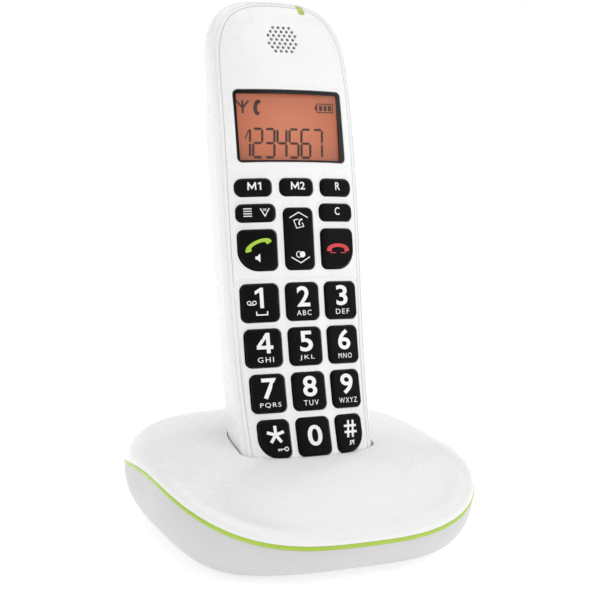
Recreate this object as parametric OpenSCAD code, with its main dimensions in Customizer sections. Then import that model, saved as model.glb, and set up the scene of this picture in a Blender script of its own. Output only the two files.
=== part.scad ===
// Cordless phone with large keys, standing in its charging base.
// The origin is the middle of the base on the table, +Z is up and the keys look towards -Y.
// Handset pieces are drawn flat, in handset axes: x across, y along towards the earpiece and
// z out of the keys, with y = 0 on the middle of the 1-2-3 key row.

/* [Handset] */
// Width of the handset where it is widest
handset_w = 53.8; // [50:0.2:68]
// Reach of the handset above the 1-2-3 key row
handset_up = 107.9; // [105:0.1:132]
// Reach of the handset below the 1-2-3 key row
handset_down = 64; // [62:0.5:78]
// Depth from the seam to the back of the lower half
back_depth = 17.4; // [17:0.1:24]
// Crown of the face above the seam
face_crown = 6.6; // [6.2:0.1:9]
// Step between the back of the lower half and the thinner back of the earpiece
back_step = 2.2; // [0:0.1:3]
// Wall of both handset shells
handset_wall = 1.8; // [1.2:0.1:2.2]
// Bend of the whole face along its length
face_bow = 0.00154; // [0:0.0001:0.0025]
// Extra sweep, forwards at the foot and backwards at the top
face_sweep = 0.000073; // [0:0.000001:0.0001]

/* [Keys] */
// Spacing of the number keys across
key_pitch_x = 15; // [14.6:0.1:16]
// Spacing of the number keys along
key_pitch_y = 15.5; // [14.8:0.1:16]
// Gap between neighbouring number keys
key_gap = 2.3; // [1.4:0.05:2.6]
// Distance from the keys' outer edge to the widest line of the handset
key_margin = 4.4; // [3.8:0.1:6]
// Height of a key above the face
key_rise = 1.1; // [0.9:0.1:2.2]
// How far a key goes down
key_travel = 0.8; // [0.4:0.1:0.9]
// Clearance round a key in its hole
key_clearance = 0.35; // [0.2:0.05:0.5]
// Corner radius of a key
key_corner = 2.2; // [1:0.1:3]

/* [Display] */
// Width of the display window
window_w = 40.8; // [34:0.2:43]
// Height of the display window
window_h = 25.2; // [20:0.2:26]
// Thickness of the display window
window_t = 1.2; // [0.8:0.1:1.5]

/* [Base] */
// Width of the base
base_w = 114.6; // [95:0.2:140]
// Depth of the base, front to back
base_d = 107; // [89:0.5:130]
// Height of the green line at the middle of each side
waist_z = 26.6; // [24:0.2:32]
// Height of the crown of the base
crown_z = 35.2; // [33:0.2:42]
// Wall of both base shells
base_wall = 2.2; // [1.8:0.1:2.6]
// Width of the rolled rim inside the green line
rim_w = 8.6; // [6:0.2:10]
// Height of the green trim
trim_h = 1.5; // [1:0.1:2.5]
// Height of the rubber feet
foot_h = 1.2; // [1:0.1:2]

/* [Cradle] */
// Lean of the handset, back from upright
lean = 15; // [12:0.5:18]
// Distance of the handset's foot in front of the middle of the base
cradle_front = 13.3; // [10:0.1:16]
// Height of the front of the handset's foot above the table
cradle_z = 20.2; // [19.8:0.1:24]
// Clearance between the handset and its cradle
cradle_clearance = 0.6; // [0.4:0.05:1]

/* [Battery] */
// Diameter of one cell
cell_d = 10.5; // [10:0.1:11]
// Length of one cell
cell_l = 44.5; // [42:0.1:46]
// Travel of the battery door
door_travel = 7; // [5:0.5:8]

/* [Hidden] */
$fn = 48;
round_fn = 720;         // for the wide arcs of the key tops and the window
far = 60;               // longer than any cut needs
skin_gap = 0.1;         // gap round a piece that is set into a shell

// Handset outline
widest_y = 42;          // where the handset is widest
side_bow = 0.00024;     // how fast the sides draw in from there
tip_half = 3;           // half width of the straight tip at each end
tip_thin = 0.02;        // share of the thickness that is left there
end_w = [28, 14];       // length over which the width rounds off, at the top and at the foot
end_w_n = [3.2, 4];     // squareness of that rounding
end_t = [12, 8];        // length over which the thickness rounds off
end_t_n = 2.2;
back_n = 3.6;           // squareness of the back's cross section
step_y = [56, 70];      // where the back steps in
face_level_y = -53;     // below this the face runs straight into the cradle
length_steps = 18;      // stations from the middle to each end
across_steps = 20;      // points across a half section

// Number keys, rows counted downwards from 1-2-3
key_half_x = (key_pitch_x - key_gap) / 2;
key_half_y = (key_pitch_y - key_gap) / 2;
key_inner_x = key_pitch_x - key_half_x;
key_foot_z = -3.1;      // underside of every key
mat_top = key_foot_z - key_travel - 0.1;
mat_t = 1;
pcb_top = mat_top - mat_t - 0.8;
pcb_t = 1.6;
pcb_back = pcb_top - pcb_t;

// Rows above the number keys
row_talk_y = [10.95, 25.2];
row_menu_y = [27.75, 33.95];
row_memory_y = [36.55, 42.75];
upper_margin = 4.4;
upper_inner_x = 8.3;
memory_inner_x = 9.2;
rocker_half_x = 5.65;
rocker_top_y = 32.5;
rocker_mid_y = 21.6;     // the rocker tilts on a round ridge under its middle
ridge_r = 0.7;

// Display, earpiece and lens
window_y = 48.6;
window_mid_y = window_y + window_h / 2;
window_r = 106;
lcd_top = -3.2;
earpiece_y = 92.4;
grille_pitch_x = 2.06;
grille_pitch_y = 1.45;
grille_rows = [4, 5, 6, 5, 6, 5, 4];
grille_hole_d = 1.2;
lens_x = [8, 11];
lens_y = [handset_up - 6.5, handset_up - 1.2];

// Battery bay
bay_wall = 1.2;
bay_y = [-30, -30 + cell_l + 7.5];
bay_half_x = cell_d + 1.9;
back_z = -face_crown - back_depth;
door_floor = back_z + 1.7;
cell_z = door_floor + 1 + cell_d / 2;
bay_floor = cell_z + cell_d / 2 + 0.3;
door_half_x = bay_half_x + 4.6;
door_y = [bay_y[0] - 1.8, bay_y[1] + 2];
rail_t = 1.4;           // sheet that the door slides on

// Charging contacts
pad_x = 7;
pad_z = -10;
pad_half = [2, 2.5];
pad_foot = handset_down - 0.3;
pin_r = 1.2;
pin_top = pad_foot + 0.1;
pin_len = 6;

// Base
half_x = base_w / 2;
half_y = base_d / 2;
rim_n = 2.94;
sole_x = half_x - 12.2;
sole_y = half_y - 13.9;
sole_n = 3.94;
trim_depth = 1.8;
trim_proud = 0.25;
around = 64;
seat_y = -cradle_front + handset_down * sin(lean);
seat_z = cradle_z + handset_down * cos(lean);
floor_y = -handset_down - 0.4;
// Lowest point of the cradle, which the circuit board lies under
cradle_low_z = seat_z + (floor_y - base_wall) * cos(lean) + (back_z - cradle_clearance - base_wall)
    * sin(lean);
base_pcb_z = cradle_low_z - pcb_t - 1.15;
board_top = base_pcb_z + pcb_t;
boss_xy = [sole_x - 15, sole_y - 14];
foot_xy = [sole_x - 13, sole_y - 12.5];
socket_z = [16.6, 24.2];
socket_face_y = half_y - 7.2;
socket_depth = 13;
line_x = 34.3 - half_x;
line_w = 9.8;
power_x = half_x - 34.9;
power_w = 7.8;
plug_h = 6.8;
button_z = 22;
button_r = 4.5;
button_proud = 0.6;
button_len = 7;

// ---- Surfaces ----

// Superellipse point at an angle, starting on +x
function power_arc(c, n) = sign(c) * pow(abs(c), 2 / n);
function loop_point(a, ax, ay, n) = [ax * power_arc(cos(a), n), ay * power_arc(sin(a), n)];
function clamp01(x) = max(0, min(1, x));
function smooth(x) = x * x * (3 - 2 * x);
function mix(a, b, t) = a + (b - a) * t;

// 1 along the middle of the handset, falling to 0 at both tips
function fade(x, n) = pow(1 - pow(clamp01(x), n), 1 / n);
function end_fade(y, inset, reach, n) =
    y > 0 ? fade((y - handset_up + inset) / reach[0] + 1, n[0])
          : fade((-handset_down + inset - y) / reach[1] + 1, n[1]);

function spine_z(y) = let (t = max(y, face_level_y)) face_bow * t * t / 2 - face_sweep * t * t * t / 6;
function spine_slope(y) = face_bow * y - face_sweep * y * y / 2;
function seam_z(y) = spine_z(y) - face_crown;
function side_x(y) = handset_w / 2 - side_bow * (y - widest_y) * (y - widest_y);
function rear_z(y) = back_z + back_step * smooth(clamp01((y - step_y[0]) / (step_y[1] - step_y[0])));
function half_width(y, inset) = max(tip_half, (side_x(y) - inset) * end_fade(y, inset, end_w, end_w_n));
function thin(y, inset) = max(tip_thin, end_fade(y, inset, end_t, [end_t_n, end_t_n]));
function front_height(y, inset) = (face_crown - inset) * thin(y, inset);
function rear_height(y, inset) = (seam_z(y) - rear_z(y) - inset) * thin(y, inset);
function station(i, inset) =
    mix(-handset_down + inset, handset_up - inset, 0.5 + sin(90 * i / length_steps) / 2);

// Half sections of the handset, left edge to right edge, as points in handset axes
function front_row(y, inset) = [for (j = [0:across_steps])
    let (a = 180 - 180 * j / across_steps)
    [half_width(y, inset) * cos(a), y, seam_z(y) + front_height(y, inset) * sin(a)]];
function rear_row(y, inset) = [for (j = [0:across_steps])
    let (a = 180 * j / across_steps,
        p = loop_point(a, half_width(y, inset), rear_height(y, inset), back_n))
    [p[0], y, seam_z(y) - p[1]]];
function face_z(x, y, inset = 0) =
    seam_z(y) + front_height(y, inset) * sqrt(max(0, 1 - pow(x / half_width(y, inset), 2)));

// Heights of the base: green line, crown and rolled rim
function waist_at(t) = waist_z - 3.4 * t - 15.7 * t * t + 6.8 * pow(max(t, 0), 3);
function crown_at(x, y) = let (q = x / half_x, t = y / half_y)
    crown_z + 8.8 * t - 12.9 * t * t - 5.25 * q * q;
function bulge(x) = sqrt(1 - (1 - x) * (1 - x));
function rim_point(a, inset) = loop_point(a, half_x - inset, half_y - inset, rim_n);
function waist_point(a, inset, dz) =
    let (p = rim_point(a, inset)) [p[0], p[1], waist_at(rim_point(a, 0)[1] / half_y) + dz];
function crown_point(p, drop) = [p[0], p[1], crown_at(p[0], p[1]) - drop];
function rim_surface(a, d, inset) =
    let (edge = waist_point(a, inset + d, trim_h / 2),
         top = crown_point(rim_point(a, inset + rim_w), inset))
    [edge[0], edge[1], mix(edge[2], top[2], bulge(d / rim_w))];

// Cradle outline across the handset, and where a line along the handset leaves the crown
cradle_lip_y = -42;
function cradle_xz(a, grow) =
    let (h = a < 180 ? rear_z(0) - seam_z(face_level_y) - grow : face_crown + grow,
         p = loop_point(a, side_x(cradle_lip_y) + grow, 1, a < 180 ? back_n : 2))
    [p[0], seam_z(face_level_y) + (a < 180 ? p[1] * h : -p[1] * h)];
function to_base(p) = [p[0], seat_y + p[1] * sin(lean) - p[2] * cos(lean),
                       seat_z + p[1] * cos(lean) + p[2] * sin(lean)];
function lip_y(x, z, drop, n = 8, y = -50) =
    n == 0 ? y : lip_y(x, z, drop, n - 1,
        (crown_at(x, seat_y + y * sin(lean) - z * cos(lean)) - drop - seat_z - z * sin(lean))
            / cos(lean));
function lip_point(a, grow, drop) =
    let (p = cradle_xz(a, grow)) to_base([p[0], lip_y(p[0], p[1], drop), p[1]]);
function wall_point(a, grow, y) = let (p = cradle_xz(a, grow)) to_base([p[0], y, p[1]]);

// ---- Solids from rows of points ----

function band(rows, cols, first, closed, flip) = [
    for (i = [0:rows - 2], j = [0:(closed ? cols : cols - 1) - 1])
    let (a = first + i * cols + j, b = first + i * cols + (j + 1) % cols, c = a + cols, d = b + cols)
    each (flip ? [[a, b, c], [b, d, c]] : [[a, c, b], [b, c, d]])];
function strip(a, b, flip) = [for (j = [0:len(a) - 2])
    each (flip ? [[a[j], b[j], a[j + 1]], [b[j], b[j + 1], a[j + 1]]]
               : [[a[j], a[j + 1], b[j]], [b[j], a[j + 1], b[j + 1]]])];
function turned(list, flip) = flip ? list : [for (i = [len(list) - 1:-1:0]) list[i]];

// A wall between two sheets of points that are open on all four sides
module sheet_wall(outer, inner) {
    rows = len(outer);
    cols = len(outer[0]);
    count = rows * cols;
    loop = concat([for (j = [0:cols - 1]) j],
                  [for (i = [1:rows - 1]) i * cols + cols - 1],
                  [for (j = [cols - 2:-1:0]) (rows - 1) * cols + j],
                  [for (i = [rows - 2:-1:0]) i * cols]);
    polyhedron(
        points = concat([for (row = outer) each row], [for (row = inner) each row]),
        faces = concat(band(rows, cols, 0, false, false), band(rows, cols, count, false, true),
                       strip(loop, [for (k = loop) k + count], false)));
}

// A cup between two stacks of closed rings: joined along the first rings, closed at the last ones
module ring_wall(outer, inner, flip = false) {
    cols = len(outer[0]);
    start = len(outer) * cols;
    loop = [for (j = [0:cols]) j % cols];
    polyhedron(
        points = concat([for (row = outer) each row], [for (row = inner) each row]),
        faces = concat(band(len(outer), cols, 0, true, flip), band(len(inner), cols, start, true, !flip),
                       strip(loop, [for (k = loop) k + start], flip),
                       [turned([for (j = [0:cols - 1]) start - cols + j], flip)],
                       [turned([for (j = [0:cols - 1]) start + len(inner) * cols - cols + j], !flip)]));
}

// A rectangle with its own radius at each corner: [left foot, right foot, right top, left top]
function corner(x, y, r, start)
    = [for (k = [0:4]) [x + r * cos(start + 22.5 * k), y + r * sin(start + 22.5 * k)]];
function tile(x, y, r) = concat(
    corner(x[0] + r[0], y[0] + r[0], r[0], 180), corner(x[1] - r[1], y[0] + r[1], r[1], 270),
    corner(x[1] - r[2], y[1] - r[2], r[2], 0), corner(x[0] + r[3], y[1] - r[3], r[3], 90));

module handset_place() {
    translate([0, seat_y, seat_z]) rotate([90 - lean, 0, 0]) children();
}

module block(x, y, z) {
    translate([x[0], y[0], z[0]]) cube([x[1] - x[0], y[1] - y[0], z[1] - z[0]]);
}

module peg(x, y, z, r) {
    translate([x, y, z[0]]) cylinder(h = z[1] - z[0], r = r);
}

// ---- Key outlines: [name, x range, y range, corner radii] ----

function digit_y(row) = -row * key_pitch_y;
function digit_outer_x(row) = side_x(digit_y(row)) - key_margin - 0.1 * row * row;
function digit_x(col, row) = col == 0 ? [-key_half_x, key_half_x]
    : col < 0 ? [-digit_outer_x(row), -key_inner_x] : [key_inner_x, digit_outer_x(row)];
function even(r) = [r, r, r, r];
function digit_radii(col, row) = let (wide = row == 3 ? 7 : key_corner)
    [col < 0 ? wide : key_corner, col > 0 ? wide : key_corner, key_corner, key_corner];
function digit_key(name, col, row) =
    [name, digit_x(col, row), [digit_y(row) - key_half_y, digit_y(row) + key_half_y],
        digit_radii(col, row)];
function upper_x(side, inner, row) = let (outer = side_x((row[0] + row[1]) / 2) - upper_margin - 0.3)
    side < 0 ? [-outer, -inner] : [inner, outer];

digit_names = [["key_1", "key_2", "key_3"], ["key_4", "key_5", "key_6"],
               ["key_7", "key_8", "key_9"], ["key_star", "key_0", "key_hash"]];
KEYS = concat(
    [["key_m1", upper_x(-1, memory_inner_x, row_memory_y), row_memory_y,
        [2.6, key_corner, key_corner, 2.6]],
     ["key_m2", [-rocker_half_x - 0.78, rocker_half_x + 0.78], row_memory_y, even(key_corner)],
     ["key_r", upper_x(1, memory_inner_x, row_memory_y), row_memory_y,
         [key_corner, 2.6, 2.6, key_corner]],
     ["key_menu", upper_x(-1, upper_inner_x, row_menu_y), row_menu_y, even(key_corner)],
     ["key_c", upper_x(1, upper_inner_x, row_menu_y), row_menu_y, even(key_corner)],
     ["key_talk", upper_x(-1, upper_inner_x, row_talk_y), row_talk_y,
         [7, key_corner, key_corner, key_corner]],
     ["key_end", upper_x(1, upper_inner_x, row_talk_y), row_talk_y,
         [key_corner, 7, key_corner, key_corner]],
     ["key_rocker", [-rocker_half_x, rocker_half_x], [row_talk_y[0], rocker_top_y], even(key_corner)]],
    [for (row = [0:3], col = [0:2]) digit_key(digit_names[row][col], col - 1, row)]);

function grown(range, by) = [range[0] - by, range[1] + by];
module key_hole(key) {
    translate([0, 0, mat_top]) linear_extrude(far)
        polygon(tile(grown(key[1], key_clearance), grown(key[2], key_clearance),
                     [for (r = key[3]) r + key_clearance]));
}

// A key stands above the face and follows it: round across, sloped along
module key_cap(shape) {
    y = (shape[2][0] + shape[2][1]) / 2;
    intersection() {
        translate([0, 0, key_foot_z]) linear_extrude(far) polygon(tile(shape[1], shape[2], shape[3]));
        translate([0, y, spine_z(y) + key_rise]) rotate([atan(spine_slope(y)), 0, 0])
            translate([0, -far / 2, -window_r]) rotate([-90, 0, 0])
                cylinder(h = far, r = window_r, $fn = round_fn);
    }
}

module key(index) {
    shape = KEYS[index];
    color("#17181a") handset_place() union() {
        key_cap(shape);
        if (shape[0] == "key_rocker")
            translate([1 - rocker_half_x, rocker_mid_y, key_foot_z]) rotate([0, 90, 0])
                cylinder(h = 2 * rocker_half_x - 2, r = ridge_r);
    }
}

// ---- Handset ----

module front_skin(wall) {
    sheet_wall([for (i = [-length_steps:length_steps]) front_row(station(i, 0), 0)],
               [for (i = [-length_steps:length_steps]) front_row(station(i, wall), wall)]);
}

module rear_skin(wall) {
    sheet_wall([for (i = [-length_steps:length_steps]) rear_row(station(i, 0), 0)],
               [for (i = [-length_steps:length_steps]) rear_row(station(i, wall), wall)]);
}

boss_y = [-2.5 * key_pitch_y, (row_talk_y[0] + key_half_y) / 2];
boss_x = key_pitch_x / 2;
boss_r = 1.5;
screw_r = 0.7;
module at_bosses() {
    for (x = [-boss_x, boss_x], y = boss_y) translate([x, y, 0]) children();
}

module handset_front_shell() {
    color("#f4f4f2") handset_place() difference() {
        front_skin(handset_wall);
        for (k = KEYS) key_hole(k);
        translate([0, 0, -far / 2]) linear_extrude(far)
            polygon(tile(grown([-window_w / 2, window_w / 2], skin_gap),
                         grown([window_y, window_y + window_h], skin_gap), even(1.6)));
        for (r = [0:6], c = [0:grille_rows[r] - 1])
            translate([(c - (grille_rows[r] - 1) / 2) * grille_pitch_x,
                earpiece_y + (3 - r) * grille_pitch_y, -far / 2])
                cylinder(h = far, d = grille_hole_d, $fn = 8);
        block(grown(lens_x, skin_gap), grown(lens_y, skin_gap), [-far / 2, far]);
    }
}

module handset_rear_shell() {
    color("#f1f1ef") handset_place() difference() {
        rear_skin(handset_wall);
        block(grown([-door_half_x, door_half_x], skin_gap * 2),
              [door_y[0] - door_travel - 0.3, door_y[1] + 0.2],
                  [-far, door_floor + rail_t + skin_gap * 2]);
        for (k = [-2:2]) block([-6, 6], [42 + k * 2.6 - 0.6, 42 + k * 2.6 + 0.6], [-far, back_z + 5]);
        for (x = [-pad_x, pad_x])
            block(grown([x - pad_half[0], x + pad_half[0]], skin_gap), [-far * 2, -handset_down + 4],
                  grown([pad_z - pad_half[1], pad_z + pad_half[1]], skin_gap));
    }
}

// Moulded tray inside the rear shell: the door slides on its outer face
module battery_tray() {
    color("#e2e2e0") handset_place() difference() {
        union() {
            block([-bay_half_x - bay_wall, bay_half_x + bay_wall], grown(bay_y, bay_wall),
                  [door_floor + 0.2, bay_floor + bay_wall]);
            block([-door_half_x, door_half_x], [door_y[0] - door_travel - 0.1, door_y[1]],
                  [door_floor, door_floor + rail_t]);
        }
        block([-bay_half_x, bay_half_x], bay_y, [-far, bay_floor]);
    }
}

module battery_door() {
    color("#efefed") handset_place() difference() {
        intersection() {
            rear_skin(6);
            block([-door_half_x, door_half_x], door_y, [-far, door_floor - skin_gap]);
        }
        for (k = [0:3]) block([-7, 7], [door_y[0] + 3 + k * 2.4, door_y[0] + 4 + k * 2.4],
            [-far, back_z + 0.5]);
    }
}

module indicator_lens() {
    color("#a6cf3a") handset_place() intersection() {
        front_skin(handset_wall);
        block(lens_x, lens_y, [-far / 2, far]);
    }
}

// The window follows the crown of the face
module display_window() {
    color("#0c0c0d") handset_place() intersection() {
        translate([0, 0, -far / 2]) linear_extrude(far)
            polygon(tile([-window_w / 2, window_w / 2], [window_y, window_y + window_h], even(1.5)));
        translate([0, window_mid_y, spine_z(window_mid_y) + 0.1])
            rotate([atan(spine_slope(window_mid_y)), 0, 0])
            translate([0, -far / 2, -window_r]) rotate([-90, 0, 0]) difference() {
                cylinder(h = far, r = window_r, $fn = round_fn);
                translate([0, 0, -1]) cylinder(h = far + 2, r = window_r - window_t, $fn = round_fn);
            }
    }
}

module lcd_glass() {
    color("#d9865a") handset_place()
        block([-window_w / 2 + 1.6, window_w / 2 - 1.6],
            grown([window_y, window_y + window_h], -1.2), [lcd_top - 1, lcd_top]);
}

module lcd_backlight() {
    color("#f0e6d8") handset_place()
        block([-window_w / 2 + 1.6, window_w / 2 - 1.6],
            grown([window_y, window_y + window_h], -1.2), [pcb_top, lcd_top - 1]);
}

module earpiece_speaker() {
    color("#3a3c40") handset_place() union() {
        peg(0, earpiece_y, [-11.6, -8.6], 9.5);
        peg(0, earpiece_y, [-14, -11.6], 6);
    }
}

module ringer_speaker() {
    color("#3a3c40") handset_place() union() {
        peg(0, 42, [back_z + handset_wall + 0.4, back_z + handset_wall + 3.4], 11);
        peg(0, 42, [back_z + handset_wall + 3.4, back_z + handset_wall + 6], 7);
    }
}

module microphone() {
    color("#b8babd") handset_place() peg(0, -56.2, [pcb_top, pcb_top + 1.6], 1.6);
}

pcb_half_x = side_x(0) - 8.3;
pcb_y = [-handset_down + 6, handset_up - 28];
module handset_pcb() {
    color("#2d6b3c") handset_place() difference() {
        block([-pcb_half_x, pcb_half_x], pcb_y, [pcb_back, pcb_top]);
        at_bosses() peg(0, 0, [pcb_back - 1, pcb_top + 1], screw_r + 0.1);
    }
}

module handset_screws() {
    color("#9a9c9f") handset_place() at_bosses() union() {
        peg(0, 0, [pcb_back - 0.1, mat_top + 0.8], screw_r - 0.05);
        peg(0, 0, [pcb_back - 1, pcb_back], 1.5);
    }
}

module screw_inserts() {
    color("#c9a24a") handset_place() for (x = [-boss_x, boss_x], y = boss_y) difference() {
        peg(x, y, [pcb_top, face_z(x + boss_r, y, handset_wall) - 0.35], boss_r);
        peg(x, y, [pcb_top - 1, mat_top + 0.9], screw_r);
    }
}

module keypad_mat() {
    color("#c9ccd0") handset_place() difference() {
        block([-pcb_half_x, pcb_half_x], [digit_y(3) - key_half_y - 1, row_memory_y[1] + 1],
            [mat_top - mat_t, mat_top]);
        at_bosses() peg(0, 0, [mat_top - mat_t - 1, mat_top + 1], boss_r + 0.3);
    }
}

module antenna() {
    color("#c9a24a") handset_place() union() {
        block([-15, 15], [pcb_y[1] - 3, pcb_y[1] - 1], [pcb_back - 4, pcb_back]);
        block([-15, -13], [pcb_y[1] - 12, pcb_y[1] - 3], [pcb_back - 4, pcb_back]);
    }
}

module charging_pads() {
    color("#d4c08a") handset_place() for (x = [-pad_x, pad_x])
        block([x - pad_half[0], x + pad_half[0]], [-pad_foot, -pad_foot + 2.5],
            [pad_z - pad_half[1], pad_z + pad_half[1]]);
}

module battery_cells() {
    color("#4c8a3f") handset_place() for (x = [-1, 1])
        translate([x * (cell_d / 2 + 0.3), bay_y[0] + 4, cell_z]) rotate([-90, 0, 0]) union() {
            cylinder(h = cell_l - 1, r = cell_d / 2);
            translate([0, 0, cell_l - 1.1]) cylinder(h = 1.1, r = cell_d / 5);
        }
}

module battery_contacts() {
    color("#c8cace") handset_place() for (x = [-1, 1]) {
        lane = x * (cell_d / 2 + 0.3);
        block([lane - 4, lane + 4], [bay_y[0] + 0.1, bay_y[0] + 0.6], [cell_z - 4, cell_z + 4]);
        translate([lane, bay_y[0] + 0.5, cell_z]) rotate([-90, 0, 0]) cylinder(h = 3.4, r1 = 3, r2 = 1.6);
        block([lane - 4, lane + 4], [bay_y[1] - 0.6, bay_y[1] - 0.1], [cell_z - 4, cell_z + 4]);
        translate([lane, bay_y[0] + cell_l + 4.1, cell_z]) rotate([-90, 0, 0]) cylinder(h = 2.9, r = 1.6);
    }
}

// ---- Base ----

module base_top_shell() {
    rim_steps = [0, 0.02, 0.08, 0.2, 0.38, 0.6, 0.82, 1];
    crown_steps = [0.12, 0.3, 0.5, 0.7, 0.86, 0.95];
    under_steps = [0, 0.08, 0.3, 0.6, 1];
    angles = [for (j = [0:around - 1]) 360 * j / around];
    color("#f6f6f4") difference() {
        ring_wall(
            concat([for (s = rim_steps) [for (a = angles) rim_surface(a, s * rim_w, 0)]],
                   [for (s = crown_steps) [for (a = angles)
                        crown_point(mix(rim_point(a, rim_w), lip_point(a, cradle_clearance + 1, 0),
                            s), 0)]],
                   [[for (a = angles) lip_point(a, cradle_clearance + 0.8, 0)],
                    [for (a = angles) lip_point(a, cradle_clearance + 0.25, 0.25)],
                    [for (a = angles) lip_point(a, cradle_clearance, 0.9)],
                    [for (a = angles) wall_point(a, cradle_clearance, floor_y)]]),
            concat([for (s = under_steps) [for (a = angles) rim_surface(a, s * (rim_w - 0.2),
                base_wall)]],
                   [for (s = [0.4, 0.8]) [for (a = angles)
                        crown_point(mix(rim_point(a, rim_w + base_wall),
                                        lip_point(a, cradle_clearance + base_wall, base_wall), s),
                                            base_wall)]],
                   [[for (a = angles) lip_point(a, cradle_clearance + base_wall, base_wall)],
                    [for (a = angles) wall_point(a, cradle_clearance + base_wall,
                        floor_y - base_wall)]]));
        for (s = [[line_x, line_w], [power_x, power_w]])
            block(grown([s[0] - s[1] / 2, s[0] + s[1] / 2], 0.6), [socket_face_y - 6, far * 2],
                grown(socket_z, 0.2));
        translate([0, half_y - 14, button_z]) rotate([-90, 0, 0]) cylinder(h = far, r = button_r + 0.35);
        handset_place() for (x = [-pad_x, pad_x])
            translate([x, floor_y - 6, pad_z]) rotate([-90, 0, 0]) cylinder(h = 10, r = pin_r + 0.4);
    }
}

module base_trim() {
    angles = [for (j = [0:around - 1]) 360 * j / around];
    color("#a9d13c") polyhedron(
        points = [for (c = [[-trim_proud, -1], [-trim_proud, 1], [trim_depth, 1], [trim_depth, -1]],
            a = angles)
                      waist_point(a, c[0], c[1] * (trim_h / 2 - 0.02))],
        faces = [for (i = [0:3], j = [0:around - 1])
                 let (a = i * around + j, b = i * around + (j + 1) % around,
                      c = ((i + 1) % 4) * around + j, d = ((i + 1) % 4) * around + (j + 1) % around)
                 each [[a, c, b], [b, c, d]]]);
}

// Lower shell: a bowl from the green line down to the flat sole
function bowl_in(q) = (1 - sqrt(1 - 0.9 * q * q)) / (1 - sqrt(0.1));
function bowl_point(a, q, inset) =
    let (top = waist_point(a, inset, -trim_h / 2),
         foot = loop_point(a, sole_x - inset, sole_y - inset, sole_n))
    [mix(top[0], foot[0], bowl_in(q)), mix(top[1], foot[1], bowl_in(q)), mix(top[2], foot_h + inset, q)];

module at_corners(xy) {
    for (x = [-1, 1], y = [-1, 1]) translate([x * xy[0], y * xy[1], 0]) children();
}

module base_bottom_shell() {
    steps = [0, 0.15, 0.3, 0.45, 0.6, 0.72, 0.84, 0.93, 1];
    angles = [for (j = [0:around - 1]) 360 * j / around];
    color("#dcdcda") difference() {
        union() {
            ring_wall([for (q = steps) [for (a = angles) bowl_point(a, q, 0)]],
                      [for (q = steps) [for (a = angles) bowl_point(a, q, base_wall)]], true);
            at_corners(boss_xy) peg(0, 0, [foot_h + base_wall - 0.5, base_pcb_z], 3.2);
        }
        at_corners(boss_xy) peg(0, 0, [base_pcb_z - 4, base_pcb_z + 1], 1.2);
    }
}

module base_feet() {
    color("#3b3b3d") at_corners(foot_xy) cylinder(h = foot_h, r = 4.5);
}

module base_pcb() {
    color("#2d6b3c") difference() {
        translate([0, 0, base_pcb_z]) linear_extrude(pcb_t)
            polygon(tile([-sole_x + 8, sole_x - 8], [-sole_y + 6, sole_y + 5], even(10)));
        at_corners(boss_xy) peg(0, 0, [base_pcb_z - 1, board_top + 1], 1.4);
    }
}

module base_screws() {
    color("#9a9c9f") at_corners(boss_xy) union() {
        peg(0, 0, [base_pcb_z - 3.8, board_top + 0.1], 1.15);
        peg(0, 0, [board_top, board_top + 1.4], 2.6);
    }
}

module base_shield() {
    color("#c4c6c8") block([-34, -14], [-20, -6], [board_top, board_top + 2.6]);
}

module base_capacitors() {
    color("#2a3550") for (y = [2, 9]) peg(33.2, y, [board_top, board_top + 8], 2.7);
}

module socket(x, width) {
    color("#2b2c2e") difference() {
        block([x - width / 2 - 2, x + width / 2 + 2], [socket_face_y - socket_depth, socket_face_y],
              [board_top, socket_z[1] + 1]);
        block([x - width / 2, x + width / 2], [socket_face_y - socket_depth + 1.5, socket_face_y + 1],
              [socket_z[1] - 0.4 - plug_h, socket_z[1] - 0.4]);
    }
}

module line_socket() {
    socket(line_x, line_w);
}

module power_socket() {
    socket(power_x, power_w);
}

module page_switch() {
    color("#4a4c50")
        block([-3.2, 3.2], [half_y - button_len - 5.6, half_y - button_len - 2.4],
            [board_top, button_z + 3.2]);
}

module page_button() {
    color("#e9e9e7") translate([0, half_y + button_proud, button_z]) rotate([90, 0, 0]) union() {
        cylinder(h = button_len, r = button_r);
        translate([0, 0, button_len - 1]) cylinder(h = 2, r = 2);
    }
}

// Block on the board that guides the two pins
module contact_block() {
    mid = to_base([0, floor_y - 3.4, pad_z]);
    color("#2b2c2e") difference() {
        block([-pad_x - 3.5, pad_x + 3.5], [mid[1] - 4, mid[1] + 4], [board_top, mid[2] - 0.5]);
        handset_place() for (x = [-pad_x, pad_x])
            translate([x, -handset_down - 12, pad_z]) rotate([-90, 0, 0])
                cylinder(h = 14, r = pin_r + 0.35);
    }
}

module charging_pins() {
    color("#d4c08a") handset_place() for (x = [-pad_x, pad_x])
        translate([x, -pin_top - pin_len, pad_z]) rotate([-90, 0, 0]) cylinder(h = pin_len, r = pin_r);
}

base_top_shell();
base_trim();
base_bottom_shell();
base_feet();
base_pcb();
base_screws();
base_shield();
base_capacitors();
line_socket();
power_socket();
page_switch();
page_button();
contact_block();
charging_pins();
handset_front_shell();
handset_rear_shell();
indicator_lens();
display_window();
lcd_glass();
lcd_backlight();
earpiece_speaker();
ringer_speaker();
microphone();
handset_pcb();
handset_screws();
screw_inserts();
keypad_mat();
antenna();
charging_pads();
battery_tray();
battery_cells();
battery_contacts();
battery_door();
for (index = [0:len(KEYS) - 1])
    key(index);
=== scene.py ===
"""Looks of the cordless phone and its charging base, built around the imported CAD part.

Lengths are in millimetres until a mesh is made, and the surfaces are those of the CAD part.
Handset pieces use handset axes: x across, y along towards the earpiece, z out of the keys.
"""

import math

import bmesh
import bpy
from mathutils import Matrix, Vector, geometry, kdtree


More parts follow.
